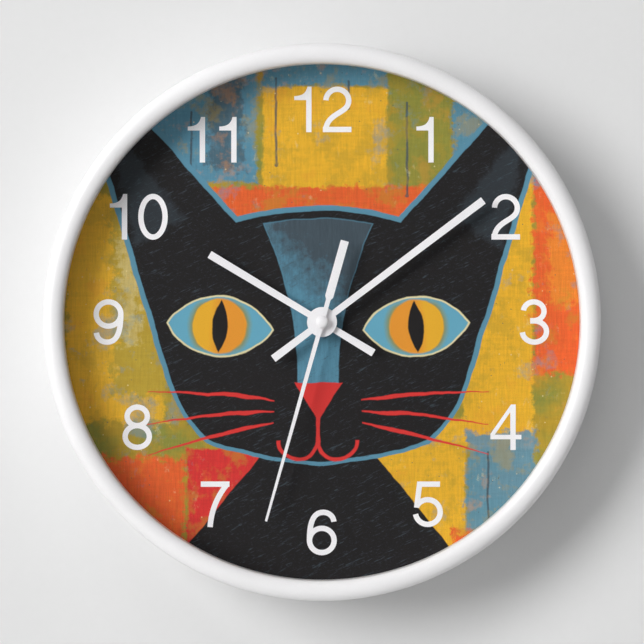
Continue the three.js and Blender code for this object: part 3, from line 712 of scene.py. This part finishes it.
def paint_eyes(p):
    """Slanted almond eyes: an amber iris in a blue field, with a slit pupil."""
    tilt = math.radians(4)
    dx, dy = p.side - 45, p.v + 2
    x = dx * math.cos(tilt) + dy * math.sin(tilt)
    y = dy * math.cos(tilt) - dx * math.sin(tilt)
    eye = p.almond(x, y, 24, 13.5)
    p.lay(CREAM, eye - 0.5)
    p.lay(SKY, eye + 0.3)
    round_iris = x.length(y) - 12.5
    p.lay(OLIVE, (round_iris - 1.6).most(eye + 1.5), 1.2, 0.8)
    iris = round_iris.most(eye + 0.3)
    p.lay(AMBER, iris, 0.4)
    p.stain(YELLOW, p.spread(iris, -0.3, 0.3, 0.85, 0.0) * p.spread(x, 0, 5))
    p.lay(INK, p.almond(y, x, 12.0, 3.6))


def paint_muzzle(p):
    """A red nose and mouth, and thin curved whiskers."""
    x, y = p.side, p.v
    p.lay(RED, p.wedge(x, y, [(-8, -29), (0, -43), (8.6, -29)]) - 1.2)
    p.lay(RED, (x - 0.9).most(abs(y + 49) - 7))
    mouth = abs((x - 9).length(y + 54) - 9) - 0.8
    p.lay(RED, mouth.most(y + 54))
    for start, slope, bend in ((-36, 0.16, -0.0016), (-41, -0.02, -0.0014), (-46, -0.2, -0.001)):
        run = x - 20
        line = abs(y - (run * run * bend + run * slope + start))
        width = p.spread(x, 20, 34, 0.25, 1.0).least(p.spread(x, 34, 76, 1.0, 0.2))
        p.lay(RED, (line - width).most(x - 78).most(20 - x))


def printed_dial():
    """The art on the dial's front, under a satin varnish."""
    p = Print()
    paint_background(p)
    paint_wear(p)
    paint_head(p)
    paint_eyes(p)
    paint_muzzle(p)
    p.feed("Base Color", p.paint)
    tooth = p.noise(5, 3)
    p.feed("Roughness", p.sway(tooth, 0.46, 0.56))
    p.feed("Specular IOR Level", 0.25)
    p.bump(tooth, 0.001)
    return p.material


def battery_sleeve():
    """Shrink sleeve in two plain colours, with bare steel past both ends."""
    low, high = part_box("battery")
    left, right = low.x / MM, high.x / MM
    s = Shader("cell")
    crinkle = s.noise(0.5, 4, 0.6, s.stretched(0.3, 1, 1))
    sleeve = s.blend(s.x, right - 12.1, right - 11.9, "3f7f9c", "dfe2e3")
    bare = s.spread(abs(s.x - (left + right) / 2), (right - left) / 2 - 1.9, (right - left) / 2 - 1.7)
    s.feed("Base Color", s.mix(bare, s.lighter(sleeve, s.sway(crinkle, 0.94, 1.06)),
                               colour("b8babd")))
    s.feed("Metallic", bare * 0.95)
    s.feed("Roughness", s.sway(crinkle, 0.2, 0.34))
    s.feed("Coat Weight", 0.4)
    s.bump(crinkle, 0.01)
    return s.material


MATERIALS = {
    "white_plastic": plastic("white_plastic", "f7f6f7", "f2f1f2", 0.36, 0.003),
    "lens": clear_lens(),
    "print": printed_dial(),
    "hand_white": hand_paint(),
    "black_plastic": plastic("black_plastic", "1b1b1d", "242427", 0.5, 0.02),
    "ivory_plastic": plastic("ivory_plastic", "ece6d6", "dcd4bf", 0.42, 0.006),
    "steel": metal("steel", "d3d5d8", "b2b5b9", 0.4),
    "brass": metal("brass", "d6b160", "b48e3f", 0.26, (6, 0.2, 6)),
    "copper": wound_copper(),
    "magnet": sintered_magnet(),
    "board": circuit_board(),
    "rubber": washer_rubber(),
    "cell": battery_sleeve(),
}


# ---------------- case

COVER_SCREWS = [f"cover_screw_{i + 1}" for i in range(6)]
HANGER_SCREWS = ["hanger_screw_left", "hanger_screw_right"]
SCREW_HOLE_R = 1.45
DIAL_HOLE_R = 4.3


def make_rim():
    """The front ring, with its rounded nose, its lip in front of the lens and its screw bosses."""
    crest_r = CASE_R - 4.9
    nose = CASE_DEPTH - 4
    seat = depths("lens")[1] + 0.1
    lip = CASE_DEPTH - 3.2
    channel_roof = CASE_DEPTH - 9
    skirt = CASE_R - 2.4
    flange_seat = 4.4
    profile = [(skirt, 0), (CASE_R - 0.85, 0), (CASE_R - 0.6, 0.35), (CASE_R, nose - 3)]
    profile += arc(crest_r, nose, CASE_R - crest_r, CASE_DEPTH - nose, 0, 90, 18)
    profile += arc(crest_r, lip, crest_r - OPENING_R, CASE_DEPTH - lip, 90, 180, 12)[1:-1]
    profile += [(OPENING_R + 0.02, lip), (OPENING_R + 0.02, seat + 0.15), (OPENING_R + 0.2, seat)]
    profile += [(BORE_R, seat), (BORE_R, flange_seat), (BORE_R + 1.6, flange_seat)]
    profile += [(BORE_R + 1.6, channel_roof), (skirt, channel_roof)]
    rim = lathe("rim_shell", profile)
    for name in COVER_SCREWS:
        at = centre(name)
        join(rim, rod(2.2, (flange_seat, channel_roof + 0.5), at))
        cut(rim, rod(SCREW_HOLE_R, (4, 18), at))
    place(rim, BODY, "white_plastic", "rim")


def make_turned(name, node, slot, inner, outer, corner, steps=3, segments=ROUND):
    """A flat disc or ring that fills the depth of its node."""
    section = rectangle(inner, outer, *depths(node), corner, steps)
    place(lathe(name, section, segments), BODY, slot, node)


def make_lens():
    make_turned("lens_pane", "lens", "lens", 0, INSERT_R, (0, 0.25, 0.25, 0))


def make_spacer():
    """The wall that holds dial and lens apart, just outside the opening."""
    make_turned("spacer_wall", "spacer_ring", "white_plastic", OPENING_R + 0.25, INSERT_R, 0.3)


def make_dial():
    make_turned("dial_sheet", "dial", "print", DIAL_HOLE_R, INSERT_R, 0.1, 2)


def make_back_cover():
    """The rear pan: flange, wall and floor, with ribs under the floor and posts for the hanger."""
    flange_back, floor_front = COVER
    flange_r = radius("back_cover")
    floor_back = MOVEMENT[1] + 1.1
    outer, inner = BORE_R - 0.4, BORE_R - 2.6
    ring_back = floor_back - 4
    corners = [(DIAL_HOLE_R, floor_back), (46, floor_back), (46, ring_back), (47.6, ring_back),
               (47.6, floor_back), (inner, floor_back), (inner, flange_back), (flange_r, flange_back),
               (flange_r, flange_back + 2.1), (outer, flange_back + 2.1), (outer, floor_front),
               (DIAL_HOLE_R, floor_front)]
    bends = [0.1, 0.5, 0.5, 0.5, 0.5, 1.6, 0.5, 0.4, 0.2, 0.3, 0.3, 0.1]
    pan = lathe("back_shell", filleted(corners, bends, 4))
    for i in range(8):
        rib = box((46.8, inner + 1), (-0.8, 0.8), (ring_back + 0.6, floor_back + 0.5))
        rib.data.transform(Matrix.Rotation(math.radians(45 * (i + 0.5)), 4, "Z"))
        join(pan, rib)
    for name in HANGER_SCREWS:
        at = centre(name)
        join(pan, rod(4, (depths("hanging_plate")[1] + 0.1, floor_back + 0.5), at))
        cut(pan, rod(SCREW_HOLE_R, (0, 13), at))
    for name in COVER_SCREWS:
        cut(pan, rod(1.6, (0, 6), centre(name)))
    place(pan, BODY, "white_plastic", "back_cover")


def make_hanging_plate():
    """The pressed steel hanger with its keyhole."""
    low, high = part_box("hanging_plate")
    back, front = depths("hanging_plate")
    x, y = high.x / MM, (low.z + high.z) / 2 / MM
    entry, slot = (0, y - 3.5), (0, y + 5)
    meet = math.degrees(math.asin(2.1 / 4.2))
    keyhole = arc(*entry, 4.2, 4.2, 90 + meet, 450 - meet, 32)
    keyhole += arc(*slot, 2.1, 2.1, 0, 180, 16)
    plate = slab("hanger", rectangle(-x, x, low.z / MM, high.z / MM, 4), [keyhole], back, front)
    soften(plate, 0.15)
    for name in HANGER_SCREWS:
        sink = [(0, back - 0.1), (2.85, back - 0.1), (1.45, front + 0.1), (0, front + 0.1)]
        cut(plate, lathe("sink", sink, 48, centre(name)))
    place(plate, BODY, "steel", "hanging_plate")


def make_screws():
    """Screws with a cross recess and a ridged shank. The hanger's have flat, countersunk heads."""
    for name in COVER_SCREWS + HANGER_SCREWS:
        low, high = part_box(name)
        back, front = depths(name)
        head_r = (high.x - low.x) / 2 / MM
        if name in COVER_SCREWS:
            face = back + 1.5
            head = [(0, back), (head_r * 0.35, back + 0.03), (head_r * 0.7, back + 0.18),
                    (head_r * 0.93, back + 0.55), (head_r, back + 1.0), (head_r, face), (1.1, face)]
        else:
            face = back + 1.3
            head = [(0, back), (head_r - 0.1, back), (head_r, back + 0.1), (1.1, face)]
        pitch = 0.9
        ridges = []
        for i in range(int((front - face - 2) / pitch)):
            z = face + 0.6 + i * pitch
            ridges += [(0.85, z), (1.15, z + pitch * 0.45), (0.85, z + pitch * 0.8)]
        at = centre(name)
        screw = lathe(name + "_driven", head + ridges + [(0.85, front - 1.2), (0, front)], 32, at)
        for half_x, half_y in ((head_r * 0.62, 0.28), (0.28, head_r * 0.62)):
            x, y = (at[0] - half_x, at[0] + half_x), (at[1] - half_y, at[1] + half_y)
            cut(screw, box(x, y, (back - 1, back + 0.9)))
        place(screw, BODY, "steel", name)


# ---------------- numerals

CAP_HEIGHT = 20.9
STROKE = 0.118  # of the cap height
INK_BACK, INK_FRONT = 0.005, 0.05  # in front of the dial
RING_X, RING_Y = 97.5, 96.4  # half the width and height of the ring of numerals
RING_MIDDLE = -0.2  # across the dial
TWELVE_RAISE = 1.0
ADVANCE = 0.69  # from one figure to the next, of the cap height
EDGE = STROKE / 2
TOP = 1 - EDGE

SIX_BACK = bezier((0.615, 0.735), (0.6, 0.87), (0.495, TOP), (0.38, TOP))
SIX_BACK += bezier((0.38, TOP), (0.155, TOP), (0.08, 0.7), (0.08, 0.33))[1:]

# Each figure is made of strokes: a path and whether it closes. Or it is filled: an outline and its
# holes. All are in cap heights, from the lower left corner of the figure's place.
STROKES = {
    "0": [(arc(0.345, 0.5, 0.265, 0.445, 0, 360, 48)[:-1], True)],
    "2": [(arc(0.345, 0.69, 0.25, 0.251, 178, 0)
           + bezier((0.595, 0.69), (0.595, 0.4), (0.12, 0.44), (0.088, 0.04))[1:], False),
          ([(0.028, EDGE), (0.655, EDGE)], False)],
    "3": [(arc(0.33, 0.735, 0.225, 0.206, 175, -90) + [(0.25, 0.529)], False),
          ([(0.255, 0.523), (0.345, 0.523)] + arc(0.345, 0.291, 0.265, 0.232, 90, -176)[1:], False)],
    "5": [([(0.15, TOP), (0.61, TOP)], False),
          ([(0.167, 0.995), (0.097, 0.425)], False),
          (arc(0.34, 0.33, 0.272, 0.271, 152, -170, 36), False)],
    "6": [(SIX_BACK, False), (arc(0.35, 0.325, 0.27, 0.266, 0, 360, 40)[:-1], True)],
    "7": [([(0.03, TOP), (0.66, TOP)], False),
          (bezier((0.62, 0.95), (0.4, 0.7), (0.255, 0.36), (0.235, 0)), False)],
    "8": [(arc(0.345, 0.738, 0.222, 0.203, 0, 360, 40)[:-1], True),
          (arc(0.345, 0.297, 0.265, 0.238, 0, 360, 40)[:-1], True)],
}
STROKES["9"] = [([(ADVANCE - x, 1 - y) for x, y in path], closed) for path, closed in STROKES["6"]]
ONE = [(0.352, 0), (0.352 + STROKE, 0), (0.352 + STROKE, 1), (0.38, 1)]
ONE += bezier((0.38, 1), (0.345, 0.85), (0.27, 0.795), (0.09, 0.79), 8)[1:]
ONE += [(0.09, 0.702), (0.352, 0.702)]
FOUR = [(0.442, 0), (0.442 + STROKE, 0), (0.442 + STROKE, 0.235), (0.685, 0.235), (0.685, 0.335)]
FOUR += [(0.442 + STROKE, 0.335), (0.442 + STROKE, 1), (0.457, 1), (0.005, 0.352), (0.005, 0.235)]
FOUR += [(0.442, 0.235)]
FILLED = {"1": (ONE, []), "4": (FOUR, [[(0.44, 0.335), (0.44, 0.83), (0.1, 0.335)]])}


def figure(char, x, y, z):
    """One figure with its lower left corner at x, y."""
    def placed(path):
        return [(x + px * CAP_HEIGHT, y + py * CAP_HEIGHT) for px, py in path]

    if char in FILLED:
        outline, holes = FILLED[char]
        return slab("ink", placed(outline), [placed(h) for h in holes], *z)
    parts = []
    for path, closed in STROKES[char]:
        left, right = sideways(path, STROKE, closed), sideways(path, -STROKE, closed)
        if closed:
            parts.append(slab("ink", placed(right), [placed(left)], *z))
        else:
            parts.append(slab("ink", placed(left + right[::-1]), [], *z))
    return join(parts[0], *parts[1:])


def make_numerals():
    """1 to 12, upright, in raised white ink on the dial."""
    z = (DIAL[1] + INK_BACK, DIAL[1] + INK_FRONT)
    advance = ADVANCE * CAP_HEIGHT
    for hour in range(1, 13):
        chars = str(hour)
        angle = math.radians(30 * hour)
        x = RING_MIDDLE + RING_X * math.sin(angle) - advance * len(chars) / 2
        y = RING_Y * math.cos(angle) - CAP_HEIGHT / 2 + (TWELVE_RAISE if hour == 12 else 0)
        figures = [figure(char, x + i * advance, y, z) for i, char in enumerate(chars)]
        numeral = join(figures[0], *figures[1:])
        numeral.name = f"numeral_{hour}"
        place(numeral, BODY, "hand_white")


# ---------------- hands

HUB_R = 6.85


def turned_to(degrees):
    """The turn that points a hand, drawn at 12 o'clock, to an angle measured clockwise."""
    return Matrix.Rotation(-math.radians(degrees), 4, "Z")


def baton(tip, tail, waist=2.9, end=3.6):
    """The outline of a bar that reaches above and below the hub, and narrows towards it."""
    return [(-end / 2, -tail), (end / 2, -tail), (waist / 2, 0), (end / 2, tip), (-end / 2, tip),
            (-waist / 2, 0)]


def make_hand(name, node, body, outline, collet_r, bore_r, angle):
    """A stamped hand: thin blade and round hub, on a short collet."""
    back, front = depths(node)
    blade_back = front - 0.4
    blade = soften(slab(name, filleted(outline, 0.25, 2), [], blade_back, front), 0.1)
    hub = rectangle(0, HUB_R, blade_back, front, (0, 0.12, 0.12, 0), 3)
    collet = rectangle(0, collet_r, back, front - 0.2, (0, 0.2, 0, 0), 3)
    join(blade, lathe("hub", hub, 64), lathe("collet", collet, 64))
    cut(blade, rod(bore_r, (back - 1, front + 1), steps=64))
    place(blade, body, "hand_white", node, turn=turned_to(angle))


def make_second_hand():
    """The needle with its paddle, and the cap over it."""
    back, front = depths("second_hand")
    outline = [(0.55, 94.5), (-0.55, 94.5), (-1.05, 0), (-1.05, -10.6), (-1.9, -12.0), (-1.9, -38.5),
               (1.9, -38.5), (1.9, -12.0), (1.05, -10.6), (1.05, 0)]
    needle = slab("sweep_hand", filleted(outline, [0.1, 0.1, 0, 0.3, 0.4, 0.3, 0.3, 0.4, 0.3, 0], 3),
                  [], back, front)
    join(soften(needle, 0.08), rod(2.6, (back, front), steps=64))
    cut(needle, rod(1.1, (back - 1, front + 1)))
    place(needle, "seconds_train", "hand_white", "second_hand", turn=turned_to(195.7))
    back, front = depths("second_hand_cap")
    shoulder = depths("second_hand")[1] + 0.1
    dome = [(0, back), (0.95, back), (0.95, shoulder), (2.7, shoulder), (2.85, shoulder + 0.15)]
    dome += [(2.85 * c, shoulder + 0.7 + (front - shoulder - 0.7) * s)
             for c, s in arc(0, 0, 1, 1, 0, 90, 12)[:-1]]
    cap = lathe("sweep_cap", dome + [(0, front)], 64)
    cut(cap, rod(0.6, (back - 1, shoulder + 0.4)))
    place(cap, "seconds_train", "hand_white", "second_hand_cap")


def make_hands():
    make_hand("hour_baton", "hour_hand", "hour_tube", baton(60, 27.5), 3.6, 2.6, angle=301)
    make_hand("minute_baton", "minute_hand", "minute_arbor", baton(92.3, 27.9), 2.6, 1.65, angle=53)
    make_second_hand()


# ---------------- movement

SKIN = 1.2
BAY_TOP = -10.6
BUSH_CLEARANCE_R = 4.2


def make_rear_case():
    """The movement's black box, with its battery bay, its knob recess and moulded detail."""
    half = radius("movement_rear_case")
    back, front = MOVEMENT
    inner = half - SKIN
    case = slab("movement_box", rectangle(-half, half, -half, half, 3), [], back, front)
    cut(case,
        slab("gears", rectangle(-inner, inner, BAY_TOP, inner, 2), [], back + 1.5, front + 1),
        slab("bay", rectangle(-inner, inner, -inner, BAY_TOP - 1, 1), [], back - 1, front + 1))
    soften(case, 0.35)
    knob = centre("setting_knob")
    join(case, slab("collar", circle(6.6, knob, 64), [circle(5.6, knob, 64)], back - 0.3, back + 0.5))
    cut(case, rod(1.9, (back - 1, back + 3), knob))
    engraved = (back - 1, back + 0.35)
    for x in (-19, 19):
        cut(case, slab("panel", rectangle(x - 6, x + 6, -3, 14, 1.5), [], *engraved))
        cut(case, box((x - 1.6, x + 1.6), (-7.3, -6.7), engraved))
    cut(case, box((18.7, 19.3), (-8.6, -5.4), engraved))
    for x in (-22.5, 22.5):
        cut(case, rod(1.6, (back - 1, back + 0.8), (x, 22.5)))
    plate_back = depths("train_plate")[0]
    for at in ((-20, -7.5), (20, -7.5), (-20, 18.5), (20, 14.4)):
        join(case, rod(1.5, (back + 1, plate_back - 0.1), at))
    for at in (centre("third_wheel"), centre("intermediate_wheel"), centre("rotor_pinion"), (0, 0)):
        join(case, rod(1.8, (back + 1, back + 2.6), at))
        cut(case, rod(0.75, (back + 1.6, back + 3), at))
    place(case, BODY, "black_plastic", "movement_rear_case")


def make_front_cover():
    """The movement's lid, with the threaded bush that the nut grips."""
    back, bush_front = depths("movement_front_cover")
    half = radius("movement_front_cover")
    lid_front = back + 1
    lid = soften(slab("movement_lid", rectangle(-half, half, -half, half, 3), [], back, lid_front), 0.2)
    thread = [(0, back), (3.75, back), (3.75, lid_front)]
    pitch = 0.6
    for i in range(int((bush_front - lid_front - 0.5) / pitch)):
        z = lid_front + 0.1 + i * pitch
        thread += [(3.75, z), (4, z + pitch * 0.4), (4, z + pitch * 0.5), (3.75, z + pitch * 0.9)]
    thread += [(3.7, bush_front - 0.2), (3.5, bush_front), (0, bush_front)]
    join(lid, lathe("bush", thread, 64))
    cut(lid, rod(2.75, (back - 1, bush_front + 1), steps=64))
    cut(lid, rod(0.75, (back - 1, back + 2), centre("motion_wheel")))
    place(lid, BODY, "black_plastic", "movement_front_cover")


def make_fixings():
    """The rubber washer and the chamfered hexagon nut at the middle of the dial."""
    make_turned("seal", "dial_washer", "rubber", BUSH_CLEARANCE_R, radius("dial_washer"), 0.15, segments=64)
    back, front = depths("dial_nut")
    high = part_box("dial_nut")[1]
    corner = max(high.x, high.z) / MM
    sides = [(corner * s, corner * c) if high.z > high.x else (corner * c, corner * s)
             for c, s in circle(1, steps=6)]
    nut = slab("hexagon", sides, [], back, front)
    flat = corner * math.cos(math.pi / 6)
    chamfer = [(0, back), (flat, back), (corner + 0.1, back + 0.35), (corner + 0.1, front - 0.35),
               (flat, front), (0, front)]
    boolean(nut, [lathe("cone", chamfer, 64)], "INTERSECT")
    cut(nut, rod(BUSH_CLEARANCE_R, (back - 1, front + 1), steps=48))
    place(nut, BODY, "brass", "dial_nut")


def make_knob():
    """The fluted setting knob, its shaft and the twelve leaves at the shaft's end."""
    back, front = depths("setting_knob")
    at = centre("setting_knob")
    flutes = [(at[0] + (4.75 + 0.25 * math.cos(18 * t)) * math.cos(t),
               at[1] + (4.75 + 0.25 * math.cos(18 * t)) * math.sin(t))
              for t in (2 * math.pi * i / 144 for i in range(144))]
    knob = soften(slab("setting_disc", flutes, [], back, back + 2), 0.15)
    cut(knob, rod(3.6, (back - 1, back + 0.5), at))
    join(knob, box((at[0] - 2.6, at[0] + 2.6), (at[1] - 0.5, at[1] + 0.5), (back + 0.1, back + 1)))
    join(knob, rod(1.5, (back + 1, front), at))
    flank = [(1.77, 8.8), (2.1, 7.9), (2.35, 4.6), (2.55, 1.3)]
    leaves = []
    for tooth in range(12):
        for r, half in [(r, -half) for r, half in flank] + flank[::-1]:
            turn = math.radians(30 * tooth + half)
            leaves.append((at[0] + r * math.cos(turn), at[1] + r * math.sin(turn)))
    join(knob, slab("leaves", leaves, [], front - 1.3, front))
    place(knob, "knob", "black_plastic", "setting_knob")


def make_battery():
    """An AA cell: sleeved can, crimped shoulder and contact nub."""
    low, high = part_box("battery")
    length = (high.x - low.x) / MM
    r = (high.z - low.z) / 2 / MM
    can = length - 1.0
    profile = [(0, 0.25), (r * 0.62, 0.25), (r * 0.66, 0.05), (r * 0.86, 0.05), (r - 0.35, 0.3),
               (r - 0.3, 0.8), (r, 1.1), (r, can - 1.0), (r - 0.2, can - 0.4), (r - 0.7, can - 0.05),
               (r - 1.6, can), (r - 2.0, can - 0.3), (2.9, can - 0.3), (2.75, can), (2.7, length - 0.25),
               (2.4, length), (0, length)]
    cell = lathe("aa_cell", profile, 64)
    along = Matrix.Translation((low.x / MM, centre("battery")[1], sum(depths("battery")) / 2))
    place(cell, BODY, "cell", "battery", turn=along @ Matrix.Rotation(math.pi / 2, 4, "Y"))


def make_spring():
    """The coiled negative contact, in round wire."""
    low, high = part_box("negative_contact")
    curve = bpy.data.curves.new("coil", "CURVE")
    curve.dimensions = "3D"
    curve.bevel_depth = 0.3
    curve.bevel_resolution = 4
    curve.use_fill_caps = True
    spline = curve.splines.new("POLY")
    steps = 96
    spline.points.add(steps)
    y, z = centre("negative_contact")[1], sum(depths("negative_contact")) / 2
    x0, x1 = low.x / MM + 0.32, high.x / MM - 0.32
    for i, point in enumerate(spline.points):
        t = i / steps
        angle = 2 * math.pi * 2.5 * t
        r = 4.2 - 1.8 * t
        point.co = (x0 + (x1 - x0) * t, y + r * math.cos(angle), z + r * math.sin(angle), 1)
    coil = add_object("cell_spring", curve)
    mesh = baked(coil)
    bpy.data.objects.remove(coil)
    place(add_object("cell_spring", mesh), BODY, "steel", "negative_contact")


# ---------------- stage, light and camera

FLOOR_Z = -1.0


def backdrop(name, corners):
    """A plane that isn't part of the clock, and its material."""
    bm = bmesh.new()
    bm.faces.new([bm.verts.new(corner) for corner in corners])
    plane = from_bmesh(name, bm)
    s = Shader(name, roughness=0.9)
    plane.data.materials.append(s.material)
    return s


def make_wall():
    """The wall that the clock hangs on. It is clear to a camera that is behind it."""
    half = 0.6
    y = WALL_Y + 0.0002
    s = backdrop("wall", ((-half, y, FLOOR_Z), (half, y, FLOOR_Z), (half, y, half), (-half, y, half)))
    plaster = s.noise(0.25, 5, 0.6)
    s.feed("Base Color", s.lighter(colour("e5e5e5"), s.sway(plaster, 0.995, 1.005)))
    s.feed("Specular IOR Level", 0.1)
    seen = []
    for kind, vector in (("VECTOR", (0, 1, 0)), ("POINT", (0, WALL_Y, 0))):
        turn = s.node("ShaderNodeVectorTransform", {0: vector}, vector_type=kind, convert_from="WORLD",
                      convert_to="CAMERA")
        seen.append(turn.outputs[0])
    side = s.node("ShaderNodeVectorMath", {0: seen[0], 1: seen[1]}, operation="DOT_PRODUCT")
    behind = Value(s.tree, side.outputs["Value"]).op("LESS_THAN", 0.0)
    s.surface(behind, s.bsdf, s.node("ShaderNodeBsdfTransparent"))


def make_floor():
    half = 5.0
    z = FLOOR_Z
    s = backdrop("floor", ((-half, -half, z), (half, -half, z), (half, half, z), (-half, half, z)))
    tone = s.lighter(colour("dededd"), s.sway(s.noise(0.02, 3), 0.99, 1.01))
    s.feed("Base Color", tone)
    s.feed("Emission Color", tone)
    s.feed("Emission Strength", seen_directly(s.tree) * 0.5)


def add_light(name, at, size, power, towards):
    light = bpy.data.lights.new(name, "AREA")
    light.shape = "DISK"
    light.size = size
    light.energy = power
    lamp = add_object(name, light)
    lamp.location = at
    lamp.rotation_euler = Vector(towards).to_track_quat("-Z", "Y").to_euler()
    return lamp


def seen_directly(tree):
    """1 for what the camera sees with nothing in between, and 0 for the light that falls on things."""
    return Value(tree, tree.nodes.new("ShaderNodeLightPath").outputs["Is Camera Ray"])


def make_lights():
    world = bpy.data.worlds.new("studio")
    world.use_nodes = True
    tree = world.node_tree
    background = tree.nodes["Background"]
    background.inputs["Color"].default_value = colour("f2f3f4")
    strength = seen_directly(tree) * 0.5 + 0.13
    tree.links.new(strength.socket, background.inputs["Strength"])
    bpy.context.scene.world = world
    add_light("key", (-6.4, -6.0, 2.6), size=6.0, power=925, towards=(0, 1, 0))
    add_light("back_fill", (0.9, 2.0, 1.1), size=1.2, power=40, towards=(-0.9, -2.0, -1.1))
    for name, x, z, size, power in (("top_fill", -0.4, 2.9, 2.0, 29), ("low_fill", -0.4, -2.9, 2.0, 32),
                                    ("front_fill", 0, 0, 3.0, 8)):
        add_light(name, (x, -2.4, z), size, power, (0, 1, 0)).visible_glossy = False


PHOTO_WIDTH = 0.2927  # width of the view at the rim's front
CAMERA_DISTANCE = 2.4


def make_camera():
    camera = bpy.data.cameras.new("camera")
    camera.sensor_width = 36
    camera.lens = 36 * CAMERA_DISTANCE / PHOTO_WIDTH
    eye = add_object("camera", camera)
    eye.location = (0, CAD_BOX[0].y - CAMERA_DISTANCE, 0)
    eye.rotation_euler = (math.pi / 2, 0, 0)
    bpy.context.scene.camera = eye


# ---------------- assembly

def dress_cad_nodes():
    """Gives each CAD node that is still shown the material of its slot."""
    for part in frame["record"]["subparts"]:
        node = frame["nodes"][part["node"]]
        node.data.materials.clear()
        node.data.materials.append(MATERIALS[part["material_slot"]])


def main():
    dress_cad_nodes()
    make_rim()
    make_lens()
    make_spacer()
    make_dial()
    make_back_cover()
    make_hanging_plate()
    make_screws()
    make_numerals()
    make_hands()
    make_fixings()
    make_rear_case()
    make_front_cover()
    make_knob()
    make_battery()
    make_spring()
    make_wall()
    make_floor()
    make_lights()
    make_camera()
    bpy.context.scene.view_settings.view_transform = "Standard"


main()
